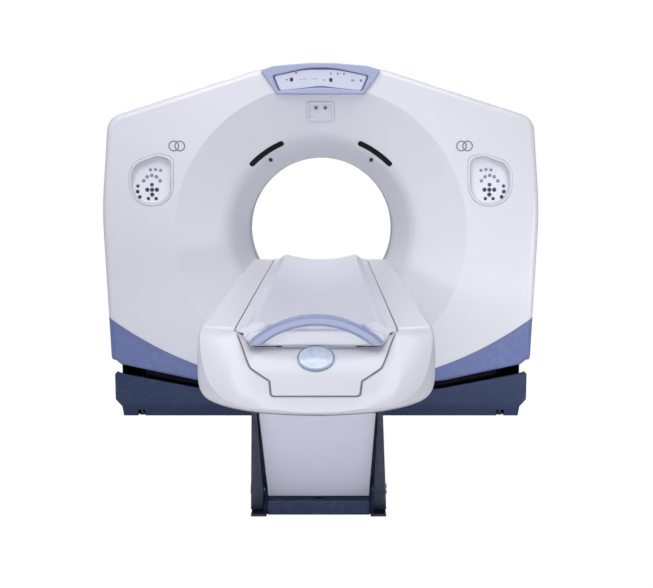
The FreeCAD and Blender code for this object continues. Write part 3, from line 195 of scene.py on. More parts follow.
floor_mesh = bpy.data.meshes.new("floor")
floor_mesh.from_pydata(FLOOR_CORNERS, [], [(0, 1, 2, 3)])
floor = bpy.data.objects.new("floor", floor_mesh)
floor.location.z = cad_box[0][2] - FLOOR_GAP
scene.collection.objects.link(floor)
paper = bpy.data.materials.new("floor_paper")
paper.use_nodes = True
tree = paper.node_tree
lit = tree.nodes["Principled BSDF"]
lit.inputs["Base Color"].default_value = (0.90, 0.90, 0.92, 1)
lit.inputs["Roughness"].default_value = 0.9
glow = node(tree, "ShaderNodeEmission", {"Color": WHITE, "Strength": FLOOR_GLOW})
share = times(tree, node(tree, "ShaderNodeLightPath").outputs["Is Camera Ray"], GLOW_SHARE)
both = node(tree, "ShaderNodeMixShader", {"Fac": share, 1: lit.outputs["BSDF"], 2: glow.outputs["Emission"]})
tree.links.new(both.outputs["Shader"], tree.nodes["Material Output"].inputs["Surface"])
floor_mesh.materials.append(paper)
print("floor at", round(floor.location.z, 4))

# %% [markdown]
# ## Effects that many finishes share
# Mouldings, paint and metal all vary a little over their surface. An effect that more than one material
# uses is a node group: it is built once, and each material places it with its own numbers. Groups here put
# out only colours, masks and heights, so the shader itself stays in the material, where an export reads it.

# %% Helpers for node groups
NUMBER, COLOUR, DIRECTION = "NodeSocketFloat", "NodeSocketColor", "NodeSocketVector"


def effect(name, inputs, outputs):
    """An empty node group with named sockets. Returns the tree, its input sockets and its end node."""
    tree = bpy.data.node_groups.new(name, "ShaderNodeTree")
    for label, kind, value in inputs:
        socket = tree.interface.new_socket(label, in_out="INPUT", socket_type=kind)
        socket.default_value = value
    for label, kind in outputs:
        tree.interface.new_socket(label, in_out="OUTPUT", socket_type=kind)
    start = tree.nodes.new("NodeGroupInput")
    end = tree.nodes.new("NodeGroupOutput")
    return tree, start.outputs, end


def place(tree, name, **feeds):
    """A group put into a material, with its own values. Gloss_low fills the socket Gloss low."""
    made = tree.nodes.new("ShaderNodeGroup")
    made.node_tree = bpy.data.node_groups[name]
    for key, value in feeds.items():
        made.inputs[key.replace("_", " ")].default_value = value
    return made


print("group helpers ready")

# %% [markdown]
# ### Moulded skin
# An injection-moulded or vacuum-formed cover is not one even colour. It has broad, faint clouds, a gloss
# that comes and goes, and a fine orange-peel texture from the tool or the paint. One group gives all three
# from noise at three sizes, measured in the object's own coordinates, so the pattern stays on the piece.

# %% Moulded skin group
tree, given, end = effect(
    "moulded_skin",
    [
        ("Colour", COLOUR, (0.8, 0.8, 0.8, 1)),
        ("Cloud", NUMBER, 0.03),
        ("Gloss low", NUMBER, 0.25),
        ("Gloss high", NUMBER, 0.35),
        ("Grain", NUMBER, 900.0),
    ],
    [("Colour", COLOUR), ("Roughness", NUMBER), ("Height", NUMBER)],
)
where = node(tree, "ShaderNodeTexCoord").outputs["Object"]
clouds = node(tree, "ShaderNodeTexNoise", {"Vector": where, "Scale": 2.2, "Detail": 3.0})
cloudy = ranged(tree, clouds.outputs["Fac"], 0.3, 0.7)
darkest = node(tree, "ShaderNodeMath", {0: 1.0, 1: given["Cloud"]}, operation="SUBTRACT")
level = ranged(tree, cloudy, 0.0, 1.0, darkest.outputs[0], 1.0)
tinted = node(tree, "ShaderNodeVectorMath", {0: given["Colour"], "Scale": level}, operation="SCALE")
smears = node(tree, "ShaderNodeTexNoise", {"Vector": where, "Scale": 9.0, "Detail": 5.0, "Roughness": 0.6})
gloss = ranged(tree, smears.outputs["Fac"], 0.3, 0.7, given["Gloss low"], given["Gloss high"])
peel = node(tree, "ShaderNodeTexNoise", {"Vector": where, "Scale": given["Grain"], "Detail": 2.0})
tree.links.new(tinted.outputs["Vector"], end.inputs["Colour"])
tree.links.new(gloss, end.inputs["Roughness"])
tree.links.new(peel.outputs["Fac"], end.inputs["Height"])
print("group:", tree.name)

# %% [markdown]
# ### Rubbed edges
# Paint and lacquer are thinnest on outer edges, and hands, mops and wheels rub them there first. The
# Geometry node's Pointiness says how sharply the surface bends outwards. Broken up by noise, it becomes a
# mask that a material uses to mix in the colour below.

# %% Rubbed edges group
tree, given, end = effect(
    "rubbed_edges",
    [("Amount", NUMBER, 0.5), ("Break up", NUMBER, 40.0)],
    [("Mask", NUMBER)],
)
where = node(tree, "ShaderNodeTexCoord").outputs["Object"]
bend = node(tree, "ShaderNodeNewGeometry").outputs["Pointiness"]
edge = ranged(tree, bend, 0.52, 0.62)
patches = node(tree, "ShaderNodeTexNoise", {"Vector": where, "Scale": given["Break up"], "Detail": 6.0})
broken = ranged(tree, patches.outputs["Fac"], 0.42, 0.68)
worn = times(tree, edge, broken)
tree.links.new(times(tree, worn, given["Amount"], use_clamp=True), end.inputs["Mask"])
print("group:", tree.name)

# %% [markdown]
# ### Settled dust
# Even in a clean room a little dust lies on faces that look up, most of all near the floor. The mask is the
# upward part of the surface's normal times a coarse noise, and each material says how much lies on it.

# %% Settled dust group
tree, given, end = effect("settled_dust", [("Amount", NUMBER, 0.2)], [("Mask", NUMBER)])
where = node(tree, "ShaderNodeTexCoord").outputs["Object"]
facing = node(tree, "ShaderNodeSeparateXYZ", {0: node(tree, "ShaderNodeNewGeometry").outputs["Normal"]})
upward = ranged(tree, facing.outputs["Z"], 0.55, 0.98)
specks = node(tree, "ShaderNodeTexNoise", {"Vector": where, "Scale": 55.0, "Detail": 8.0, "Roughness": 0.7})
drift = ranged(tree, specks.outputs["Fac"], 0.35, 0.75)
lying = times(tree, upward, drift)
tree.links.new(times(tree, lying, given["Amount"], use_clamp=True), end.inputs["Mask"])
print("group:", tree.name)

# %% [markdown]
# ### Tool lines
# Ground and turned metal keeps fine parallel lines. Noise that is stretched a hundredfold along one axis
# gives them, as a height and as a change of gloss.

# %% Tool lines group
ALONG_X = (4.0, 400.0, 400.0)

tree, given, end = effect(
    "tool_lines",
    [("Along", DIRECTION, ALONG_X), ("Gloss low", NUMBER, 0.25), ("Gloss high", NUMBER, 0.45)],
    [("Roughness", NUMBER), ("Height", NUMBER)],
)
where = node(tree, "ShaderNodeTexCoord").outputs["Object"]
drawn = node(tree, "ShaderNodeVectorMath", {0: where, 1: given["Along"]}, operation="MULTIPLY")
lines = node(tree, "ShaderNodeTexNoise", {"Vector": drawn.outputs["Vector"], "Scale": 1.0, "Detail": 4.0})
shine = ranged(tree, lines.outputs["Fac"], 0.3, 0.7, given["Gloss low"], given["Gloss high"])
tree.links.new(shine, end.inputs["Roughness"])
tree.links.new(lines.outputs["Fac"], end.inputs["Height"])
print("group:", tree.name)

# %% [markdown]
# ## Finishes
# Each finish is one Principled shader. What is the same everywhere, such as the coat's strength, is set on
# the shader's own sockets. What varies comes from the groups. A recipe for plastics and paints takes the
# colour, the range of gloss, the clouds, the size and depth of the grain, the coat, how much rubbed paint and
# dust show, and how far sharp edges look rounded.

# %% The recipe for plastics and paints
COAT_ROUGHNESS = 0.12
DUST_COLOUR = (0.60, 0.59, 0.58)
MIX_UNDER, MIX_OVER, MIX_RESULT = 6, 7, 2  # the colour sockets of a Mix node

finish = {}


def mixed(tree, mask, under, over):
    """One colour laid over another through a mask. Returns the output."""
    feeds = {"Factor": mask}
    for key, value in ((MIX_UNDER, under), (MIX_OVER, over)):
        feeds[key] = value if isinstance(value, bpy.types.NodeSocket) else (*value, 1)
    return node(tree, "ShaderNodeMix", feeds, data_type="RGBA").outputs[MIX_RESULT]


def textured(tree, height, depth):
    """A Bump node that turns a height between 0 and 1 into grooves and bumps depth metres deep."""
    return node(tree, "ShaderNodeBump", {"Height": height, "Distance": depth, "Strength": 1.0})


def coated(
    name, colour, gloss, cloud=0.03, grain=900, depth=0.00002,
    coat=0.0, specular=0.5, rubbed=None, dust=0.0, soften=0.0,
):
    """A moulded plastic or a paint, kept in finish under its name.

    gloss is (lowest, highest) roughness, depth the grain's, in metres. rubbed is (amount, colour below).
    soften is the radius, in metres, to which the light sees sharp edges as rounded.
    """
    made = bpy.data.materials.new(name)
    made.use_nodes = True
    tree = made.node_tree
    shader = tree.nodes["Principled BSDF"]
    skin = place(
        tree, "moulded_skin",
        Colour=(*colour, 1), Cloud=cloud, Grain=grain, Gloss_low=gloss[0], Gloss_high=gloss[1],
    )
    surface = skin.outputs["Colour"]
    if rubbed:
        edges = place(tree, "rubbed_edges", Amount=rubbed[0])
        surface = mixed(tree, edges.outputs["Mask"], surface, rubbed[1])
    if dust:
        lying = place(tree, "settled_dust", Amount=dust)
        surface = mixed(tree, lying.outputs["Mask"], surface, DUST_COLOUR)
    tree.links.new(surface, shader.inputs["Base Color"])
    tree.links.new(skin.outputs["Roughness"], shader.inputs["Roughness"])
    bump = textured(tree, skin.outputs["Height"], depth)
    if soften:
        round_edges = node(tree, "ShaderNodeBevel", {"Radius": soften}, samples=6)
        tree.links.new(round_edges.outputs["Normal"], bump.inputs["Normal"])
    tree.links.new(bump.outputs["Normal"], shader.inputs["Normal"])
    shader.inputs["Specular IOR Level"].default_value = specular
    shader.inputs["Coat Weight"].default_value = coat
    shader.inputs["Coat Roughness"].default_value = COAT_ROUGHNESS
    finish[name] = made
    return made


print("recipe ready")

# %% [markdown]
# ### Covers and trims
# The big covers are white mouldings with a cool cast and a thin clear coat. The trims are a dusty blue, the
# bezel a paler one, and the cradle a warmer, duller white. Their edges have a few millimetres of rounding
# that a mesh of this size doesn't carry, so a Bevel node rounds the light on them.

# %% Covers and trims
coated(
    "shell_white", (0.775, 0.78, 0.815), (0.28, 0.33),
    cloud=0.012, depth=0.000006, coat=0.2, dust=0.01, soften=0.007,
)
coated(
    "trim_blue", (0.138, 0.184, 0.395), (0.28, 0.36),
    depth=0.000008, coat=0.2, rubbed=(0.15, (0.35, 0.40, 0.58)), soften=0.004,
)
coated(
    "bezel_blue", (0.41, 0.45, 0.64), (0.26, 0.34),
    cloud=0.02, depth=0.000008, coat=0.25, rubbed=(0.12, (0.5, 0.55, 0.72)), soften=0.003,
)
coated("display_face", (0.67, 0.69, 0.80), (0.14, 0.20), cloud=0.01, depth=0.000003, coat=0.4)
coated(
    "pod_shell", (0.76, 0.765, 0.805), (0.28, 0.36),
    cloud=0.02, depth=0.000008, coat=0.15, soften=0.003,
)
coated("window_film", (0.52, 0.54, 0.66), (0.22, 0.30), depth=0.00001, coat=0.3)
coated(
    "cradle_grey", (0.74, 0.74, 0.815), (0.30, 0.36),
    cloud=0.012, grain=700, depth=0.000006, coat=0.12, soften=0.004,
)
covers = len(finish)
print("covers and trims:", covers)

# %% [markdown]
# ### Paint on the base, the legs and the frames
# Steel near the floor is painted, in a dark navy and near-black, and it is a little rubbed and dusty. The
# leg's cover is a pale panel. The skirts in the gap between the covers and the base are painted shade: almost
# black sheets that stand for the shade in that gap, whose paint reflects very little, because at the low
# angle at which the camera sees them even a weak reflection would turn them grey. The frames, housings and
# motors inside the covers have coarser paints, in greys and black, with more dust on them.

# %% Paint on the base, the legs and the frames
coated(
    "base_navy", (0.012, 0.029, 0.092), (0.36, 0.46),
    cloud=0.08, grain=450, rubbed=(0.3, (0.08, 0.10, 0.18)), dust=0.03, soften=0.004,
)
coated(
    "leg_black", (0.022, 0.028, 0.060), (0.32, 0.42),
    cloud=0.10, grain=450, depth=0.00003, rubbed=(0.4, (0.12, 0.13, 0.16)), dust=0.05, soften=0.004,
)
coated(
    "leg_panel", (0.90, 0.91, 0.99), (0.28, 0.38),
    grain=500, depth=0.00001, rubbed=(0.15, (0.80, 0.81, 0.86)), soften=0.004,
)
# Painted shade: the skirts' finish is near-black with almost no reflection, for the shade in the gap under
# the covers.
coated("skirt_black", (0.004, 0.004, 0.006), (0.6, 0.7), cloud=0.1, grain=300, depth=0.00003, specular=0.06)
coated(
    "frame_grey", (0.16, 0.18, 0.22), (0.40, 0.52),
    cloud=0.10, grain=400, depth=0.00005, rubbed=(0.6, (0.4, 0.4, 0.42)), dust=0.15,
)
coated(
    "housing_grey", (0.30, 0.33, 0.37), (0.36, 0.48),
    cloud=0.08, grain=450, depth=0.00004, rubbed=(0.4, (0.5, 0.5, 0.5)), dust=0.12,
)
coated(
    "motor_black", (0.03, 0.03, 0.035), (0.36, 0.50),
    cloud=0.10, grain=350, depth=0.00005, rubbed=(0.5, (0.2, 0.2, 0.2)), dust=0.15,
)
print("paints:", len(finish) - covers)

# %% [markdown]
# ### Metals
# Machined steel and aluminium share one recipe: a metallic shader, the tool lines' gloss and height, and a
# base colour with faint clouds. A metal has no diffuse colour of its own, so the lamps and the room that it
# reflects do the rest.


# %% Metals
def machined(name, colour, gloss, along=ALONG_X):
    """A ground or turned metal, kept in finish under its name."""
    made = bpy.data.materials.new(name)
    made.use_nodes = True
    tree = made.node_tree
    shader = tree.nodes["Principled BSDF"]
    shader.inputs["Metallic"].default_value = 1.0
    lines = place(tree, "tool_lines", Along=along, Gloss_low=gloss[0], Gloss_high=gloss[1])
    skin = place(tree, "moulded_skin", Colour=(*colour, 1), Cloud=0.08)
    tree.links.new(skin.outputs["Colour"], shader.inputs["Base Color"])
    tree.links.new(lines.outputs["Roughness"], shader.inputs["Roughness"])
    bump = textured(tree, lines.outputs["Height"], 0.00002)
    tree.links.new(bump.outputs["Normal"], shader.inputs["Normal"])
    finish[name] = made
    return made


metals = [
    machined("steel", (0.56, 0.57, 0.58), (0.24, 0.40)),
    machined("aluminium", (0.72, 0.73, 0.75), (0.28, 0.42), (400.0, 4.0, 400.0)),
    machined("tungsten", (0.26, 0.26, 0.28), (0.30, 0.46)),
    machined("copper_ring", (0.70, 0.42, 0.24), (0.16, 0.30), (60.0, 900.0, 60.0)),
]
print("metals:", len(metals))

# %% [markdown]
# ### Dark lenses and rubber
# The laser windows are near-black acrylic with a soft, weak reflection. The drive rubber is matt with
# moulded ribs, a wave texture used as height in place of the grain.

# %% Dark lenses and rubber
coated("dark_lens", (0.004, 0.004, 0.007), (0.22, 0.30), cloud=0.1, depth=0.000003, specular=0.22)

rubber = coated("rubber_black", (0.02, 0.02, 0.022), (0.55, 0.70), cloud=0.15, grain=300, dust=0.2)
tree = rubber.node_tree
where = node(tree, "ShaderNodeTexCoord").outputs["Object"]
ribs = node(tree, "ShaderNodeTexWave", {"Vector": where, "Scale": 60.0}, bands_direction="Y")
ribbed = textured(tree, ribs.outputs["Fac"], 0.0008)
tree.links.new(ribbed.outputs["Normal"], tree.nodes["Principled BSDF"].inputs["Normal"])
print("finishes:", len(finish))

# %% [markdown]
# ### Pearl
# The badge is a pearl disc. Its pale aqua comes from a voronoi pattern of soft patches under a strong clear
# coat. Its darker rim is part of the same finish: it starts at a set distance from the disc's own axis, and
# that axis comes from the disc's faces that look up, each counted by its area.

# %% Badge pearl
LOOKS_UP = 0.6
RIM_STARTS, RIM_FULL = 0.0482, 0.0490

upper = [face for face in nodes["nose_badge"].data.polygons if face.normal.z > LOOKS_UP]
upper_area = sum(face.area for face in upper)
badge_axis = sum((face.normal * face.area for face in upper), Vector()).normalized()
badge_middle = sum((face.center * face.area for face in upper), Vector()) / upper_area

pearl = bpy.data.materials.new("badge_pearl")
pearl.use_nodes = True
tree = pearl.node_tree
shader = tree.nodes["Principled BSDF"]
where = node(tree, "ShaderNodeTexCoord").outputs["Object"]
patches = node(tree, "ShaderNodeTexVoronoi", {"Vector": where, "Scale": 55.0}, feature="SMOOTH_F1")
tone = mixed(tree, patches.outputs["Distance"], (0.72, 0.82, 0.90), (0.52, 0.60, 0.80))
from_middle = node(tree, "ShaderNodeVectorMath", {0: where, 1: badge_middle}, operation="SUBTRACT")
feeds = {0: from_middle.outputs["Vector"], 1: badge_axis}
across = node(tree, "ShaderNodeVectorMath", feeds, operation="CROSS_PRODUCT")
radius = node(tree, "ShaderNodeVectorMath", {0: across.outputs["Vector"]}, operation="LENGTH")
rim = ranged(tree, radius.outputs["Value"], RIM_STARTS, RIM_FULL)
tree.links.new(mixed(tree, rim, tone, (0.27, 0.33, 0.46)), shader.inputs["Base Color"])
shader.inputs["Roughness"].default_value = 0.2
shader.inputs["Coat Weight"].default_value = 0.6
finish["badge_pearl"] = pearl
print("badge middle:", [round(v, 4) for v in badge_middle])

# %% [markdown]
# ### Key mat
# Each pod holds a soft mat with domed keys. The mat is pale, the lower keys are dark and the upper ones grey.
# The material reads how far a point stands proud of the mat: the object's own Y says so, because the keys
# bulge towards the user, and its Z tells the upper keys from the lower.

# %% Key mat finish
KEY_RISE = 0.003  # how far the key tops stand proud of the mat
KEY_STARTS, KEY_FULL = 0.0026, 0.0016  # behind the key tops: where their colour starts and where it is full
UPPER_KEYS = (1.229, 1.231)  # the heights between which dark keys give way to grey ones

mat_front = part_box("key_mats")[0].y
key_mat = coated("key_mat", (0.84, 0.85, 0.90), (0.45, 0.55), grain=600, depth=0.00001)
tree = key_mat.node_tree
shader = tree.nodes["Principled BSDF"]
where = node(tree, "ShaderNodeSeparateXYZ", {0: node(tree, "ShaderNodeTexCoord").outputs["Object"]})
proud = ranged(tree, where.outputs["Y"], mat_front + KEY_STARTS, mat_front + KEY_FULL)
high_key = ranged(tree, where.outputs["Z"], *UPPER_KEYS)
key_top = mixed(tree, high_key, (0.045, 0.05, 0.085), (0.27, 0.28, 0.34))
plain = shader.inputs["Base Color"].links[0].from_socket
tree.links.new(mixed(tree, proud, plain, key_top), shader.inputs["Base Color"])
print("mat front at", round(mat_front, 4))

# %% [markdown]
# ### Finishes for single pieces
# Some pieces are one solid with two colours: the sensors' lenses are paler near the top, the leg's cover has
# a painted shade along its lower edge, and the base has painted shade that darkens it towards the floor. A
# copy of the piece's finish mixes in the second colour above or below a height, which it reads from the
# object's own Z. The handle is a deeper blue than the bezel that shares its slot. The table's foot and the
# levelling feet are given dull, near-black paints as painted shade, for the shade they sit in below the table
# and legs.


# %% Finishes for single pieces
def split_by_height(name, like, height, below, colour, soft=0.002):
    """A copy of a finish with another colour below, or above, a height. soft is the height of the change."""
    made = finish[like].copy()
    made.name = name
    tree = made.node_tree
    up = node(tree, "ShaderNodeSeparateXYZ", {0: node(tree, "ShaderNodeTexCoord").outputs["Object"]})
    ends = (height + soft, height) if below else (height, height + soft)
    side = ranged(tree, up.outputs["Z"], *ends)
    shader = tree.nodes["Principled BSDF"]
    under = shader.inputs["Base Color"].links[0].from_socket
    tree.links.new(mixed(tree, side, under, colour), shader.inputs["Base Color"])
    return made


special = {
    "pull_handle": coated(
        "handle_blue", (0.31, 0.35, 0.55), (0.26, 0.34),
        cloud=0.04, depth=0.000008, coat=0.2, soften=0.003,
    ),
    # Painted shade: the table's foot is near-black and barely reflects, so the gap under the leg's panel
    # reads as shade.
    "table_foot": coated(
        "foot_painted_shade", (0.016, 0.032, 0.085), (0.5, 0.6), cloud=0.1, grain=400, specular=0.06,
    ),
    # Painted shade: the levelling feet are steel, painted near-black here for the shade they stand in.
    "levelling_feet": coated("feet_painted_shade", (0.020, 0.022, 0.030), (0.4, 0.5), cloud=0.1, grain=400),
    "sensor_lenses": split_by_height(
        "smoked_lenses", "dark_lens", height=1.52, below=False, colour=(0.16, 0.165, 0.21),
    ),
    # Painted shade: the leg's cover turns dark along its lower edge, where it meets the toe-kick.
    "leg_cover": split_by_height(
        "leg_panel_edged", "leg_panel", height=0.070, below=True, colour=(0.02, 0.03, 0.07),
    ),
    # Painted shade: the base darkens below about 70 mm and is darkest below 50 mm, towards the floor.
    "gantry_base": split_by_height(
        "base_shaded_foot", "base_navy", height=0.050, below=True, colour=(0.004, 0.020, 0.075), soft=0.02,
    ),
}
print("finishes for single pieces:", sorted(special))

# %% [markdown]
# ## Dressing the pieces
# Every imported piece has a material slot in its record, so its finish is looked up by that slot. Its flat
# faces are made of few large triangles, and smooth shading would smear light across them. A Weighted Normal
# modifier lets the large faces decide, and the mesh itself is left as it is.

# %% Give every piece its finish
slot_of = {row["node"]: row["material_slot"] for row in frame["record"]["subparts"]}
for name, piece in nodes.items():
    piece.data.materials.clear()
    piece.data.materials.append(special.get(name, finish[slot_of[name]]))
    steady = piece.modifiers.new("steady_shading", "WEIGHTED_NORMAL")
    steady.keep_sharp = True
print("dressed:", len(nodes))

# %% [markdown]
# ## Printed marks and painted shade
# The display carries rows of small lamps and marks, a dark band of painted shade runs round its window, and
# two overlapping rings are printed above each pod. Prints are modelled as films that stand 0.3 or 0.4 mm
# proud: they catch light like the ink and stay sharp from any distance, which a texture would not.

# %% Helpers for films
FILM_THICK = 0.0004
FILM_PROUD = 0.0003
SIDES = ((-1, "left"), (1, "right"))


def finished(form, name, material):
    """The object that a worked-out form becomes, in one material."""
    mesh = bpy.data.meshes.new(name)
    form.to_mesh(mesh)
    form.free()
    mesh.materials.append(material)
    made = bpy.data.objects.new(name, mesh)
    scene.collection.objects.link(made)
    return made


def plate(form, corners, shift):
    """A flat outline in a form, drawn out by shift to a thin plate."""
    face = form.faces.new([form.verts.new(corner) for corner in corners])
    out = bmesh.ops.extrude_face_region(form, geom=[face])
    lifted = [v for v in out["geom"] if isinstance(v, bmesh.types.BMVert)]
    bmesh.ops.translate(form, verts=lifted, vec=shift)


def film(name, outlines, front, material, body):
    """Closed outlines of (across, up) points made into thin plates that face the user."""
    form = bmesh.new()
    for points in outlines:
        plate(form, [(x, front, z) for x, z in points], (0, FILM_THICK, 0))
    bmesh.ops.recalc_face_normals(form, faces=form.faces)
    made = finished(form, name, material)
    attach(made, body)


def oval(x, z, across, up, count=24):
    """The points of an upright oval, or of a circle where across and up are the same."""
    turns = [2 * math.pi * k / count for k in range(count)]
    return [(x + across * math.cos(t), z + up * math.sin(t)) for t in turns]


def bar(x, z, across, up):
    """The corners of a rectangle."""
    return [(x - across, z - up), (x + across, z - up), (x + across, z + up), (x - across, z + up)]


ink_dark = coated("ink_dark", (0.03, 0.035, 0.07), (0.35, 0.45), cloud=0.1, depth=0.000005)
ink_grey = coated("ink_grey", (0.22, 0.23, 0.32), (0.35, 0.45), cloud=0.1, depth=0.000005)
print("film helpers and ink ready")

# %% [markdown]
# The display's marks sit on its face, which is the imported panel's own front. Reading that front from the
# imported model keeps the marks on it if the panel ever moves. Each row below is one mark's middle across and
# up, and its half width and half height, in millimetres.

# %% Display marks
DARK_LAMPS = [(-148, 1753, 9, 11), (52, 1751, 9, 11)]
SMALL_MARKS = [
    (-171, 1752, 6, 4), (-124, 1786, 6, 5), (19, 1751, 5, 4), (52, 1783, 4.5, 6), (87, 1782, 4.5, 6),
    (119, 1781, 4.5, 6), (160, 1749, 4, 7), (170, 1749, 3, 6), (205, 1748, 7, 7),
]
BARS = [(-90, 1755, 20, 1.2), (-30, 1757, 16, 1.2)]

panel_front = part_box("display_panel")[0].y
for name, shape, rows, ink, slot in (
    ("display_marks", oval, DARK_LAMPS, ink_dark, "dark_lens"),
    ("display_lamps", oval, SMALL_MARKS, ink_grey, "display_face"),
    ("display_bars", bar, BARS, ink_grey, "display_face"),
):
    outlines = [shape(*(length / 1000 for length in row)) for row in rows]
    film(name, outlines, panel_front - FILM_PROUD, ink, "gantry")
print("marks:", len(DARK_LAMPS) + len(SMALL_MARKS), "bars:", len(BARS))

# %% [markdown]
# The dark line round the display is painted shade: a low dark band laid where the recessed window meets the
# bezel, standing for the shadow in that recess. Its path is the panel's own outline: the corners of the
# panel's front face, put in order round its middle. Copies of that outline, each set a little forwards or
# inwards, are joined to the band.

# %% Display band of painted shade
ON_PLANE = 0.00001
SHADE_BAND_PROFILE = ((0.0, 0.0), (0.0, -0.0012), (0.009, -0.0012), (0.010, 0.0002))  # (inwards, backwards)
LEAST_REACH = 0.05  # a corner nearer the middle than this moves in as if it were this far away


def points_at(mesh, y):
    """The (across, up) places of the points of a mesh that lie at one y."""
    return {(round(v.co.x, 5), round(v.co.z, 5)) for v in mesh.vertices if abs(v.co.y - y) < ON_PLANE}


def in_order(points, x, z):
    """Points put in order round a middle."""
    return sorted(points, key=lambda p: math.atan2(p[1] - z, p[0] - x))


def joined_loops(name, loops, material, body, smooth):
    """Closed loops of points, each joined to the next by a ring of faces."""
    form = bmesh.new()
    rings = [[form.verts.new(point) for point in loop] for loop in loops]
    for first, second in zip(rings, rings[1:]):
        for k in range(len(first)):
            ahead = (k + 1) % len(first)
            form.faces.new((first[k], first[ahead], second[ahead], second[k]))
    bmesh.ops.recalc_face_normals(form, faces=form.faces)
    for face in form.faces:
        face.smooth = smooth
    made = finished(form, name, material)
    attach(made, body)


# Painted shade: a dark slate colour for the shadow where the window sits back in the bezel.
painted_shade_slate = coated("painted_shade_slate", (0.12, 0.14, 0.24), (0.40, 0.50), cloud=0.1, depth=0.000005)
panel_low, panel_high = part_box("display_panel")
middle = (panel_low + panel_high) / 2
outline = in_order(points_at(nodes["display_panel"].data, panel_low.y), middle.x, middle.z)
loops = []
for inwards, back in SHADE_BAND_PROFILE:
    loop = []
    for x, z in outline:
        grow = 1 - inwards / max(LEAST_REACH, math.hypot(x - middle.x, z - middle.z))
        new_x, new_z = middle.x + (x - middle.x) * grow, middle.z + (z - middle.z) * grow
        loop.append((new_x, panel_low.y + back, new_z))
    loops.append(loop)
joined_loops("display_painted_shade_band", loops, painted_shade_slate, "gantry", smooth=False)
print("shade band corners:", len(outline))

# %% [markdown]
# Each pair of overlapping rings is two circles drawn as curves with a small round section, flattened against
# the wall. A curve is the simplest way to a ring of even thickness, and it stays editable.

# %% Ring marks
CIRCLE_HANDLE = 0.5523  # the handle length, in radii, that makes four Bezier arcs a circle
RING_X, RING_Z = 0.739, 1.419  # the middle of a pair
RING_APART = 0.0155  # how far each ring's middle is from the pair's
RING_RADIUS, RING_WIRE, RING_FLATTEN = 0.0245, 0.0034, 0.25
RING_PROUD = 0.0002


def ring_mark(name, x, y, z):
    """A thin ring that stands on a wall facing the user."""
    data = bpy.data.curves.new(name, "CURVE")
    data.dimensions = "3D"
    data.bevel_depth = RING_WIRE
    data.bevel_resolution = 2
    data.resolution_u = 12
    line = data.splines.new("BEZIER")
    line.bezier_points.add(3)
    line.use_cyclic_u = True
    reach = RING_RADIUS * CIRCLE_HANDLE
    corners = ((1, 0), (0, 1), (-1, 0), (0, -1))
    for point, (cx, cz) in zip(line.bezier_points, corners):
        point.co = (cx * RING_RADIUS, 0, cz * RING_RADIUS)
        point.handle_left = (cx * RING_RADIUS + cz * reach, 0, cz * RING_RADIUS - cx * reach)
        point.handle_right = (cx * RING_RADIUS - cz * reach, 0, cz * RING_RADIUS + cx * reach)
    data.materials.append(ink_grey)
    made = bpy.data.objects.new(name, data)
    made.location = (x, y, z)
    made.scale = (1, RING_FLATTEN, 1)
    scene.collection.objects.link(made)
    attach(made, "gantry")


face_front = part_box("front_cover")[0].y
for side, word in SIDES:
    for step, letter in ((-1, "a"), (1, "b")):
        x = side * RING_X + step * RING_APART
        ring_mark("ring_mark_%s_%s" % (word, letter), x, face_front - RING_PROUD, RING_Z)
print("ring marks:", 2 * len(SIDES))

# %% [markdown]
# ## Inside the pods
# Each pod is a dish. Its mat lies at the bottom, and on the upper outer side the wall comes down to it in a
# wide cove, which lies in its own shade. The cove follows the mat's outline: every point of that outline
# moves in by a share of the cove's width and, at the same time, back towards the mat along a quarter circle.

# %% Pod coves
COVE_LEAST, COVE_MOST = 0.0006, 0.023  # the cove's width away from its middle, and what its middle adds
COVE_MIDDLE = math.radians(60)  # the way its widest part faces, up from outwards
COVE_FOCUS, COVE_SWELL = 1.3, 0.7  # how soon it narrows, and how full the narrowing is
COVE_SHARES = (0.0, 0.04, 0.12, 0.24, 0.38, 0.54, 0.72, 0.88, 1.0)
COVE_SET_BACK = 0.0006  # how far behind the pod's front the cove starts

cove_grey = coated("cove_grey", (0.76, 0.77, 0.82), (0.34, 0.42), cloud=0.04, depth=0.000008)
mats = nodes["key_mats"].data
mat_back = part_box("key_mats")[1].y
mat_face = mat_front + KEY_RISE
cove_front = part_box("control_pods")[0].y + COVE_SET_BACK
for side, word in SIDES:
    edge = {point for point in points_at(mats, mat_back) if point[0] * side > 0}
    centre_x = sum(x for x, z in edge) / len(edge)
    centre_z = sum(z for x, z in edge) / len(edge)
    loops = []
    for share in COVE_SHARES:
        back = cove_front + (mat_face - cove_front) * math.sqrt(1 - (1 - share) ** 2)
        loop = []
        for x, z in in_order(edge, centre_x, centre_z):
            away = math.hypot(x - centre_x, z - centre_z)
            turn = math.atan2(z - centre_z, (x - centre_x) * side)
            facing = max(0.0, math.cos((turn - COVE_MIDDLE) * COVE_FOCUS))
            wide = COVE_LEAST + COVE_MOST * facing ** COVE_SWELL
            inward = 1 - share * wide / away
            loop.append((centre_x + (x - centre_x) * inward, back, centre_z + (z - centre_z) * inward))
        loops.append(loop)
    joined_loops("pod_cove_" + word, loops, cove_grey, "gantry", smooth=True)
print("coves:", len(SIDES), "deep %.1f mm" % ((mat_face - cove_front) * 1000))

# %% [markdown]
# ## The seal round the nose panel
# A soft brown-grey seal fills the joint between the nose panel and the cover round it. Its path is the
# panel's own upper edge: the mesh edges where a face that looks up meets a face that stands upright. Each
# point knows its two neighbours on that edge, so walking from neighbour to neighbour puts them in order.

# %% The nose panel's upper edge
SAME_POINT = 0.00002
TOP_LOOKS_UP, WALL_LOOKS_UP = 0.4, 0.25  # how far up a top face looks at least, and a wall at most

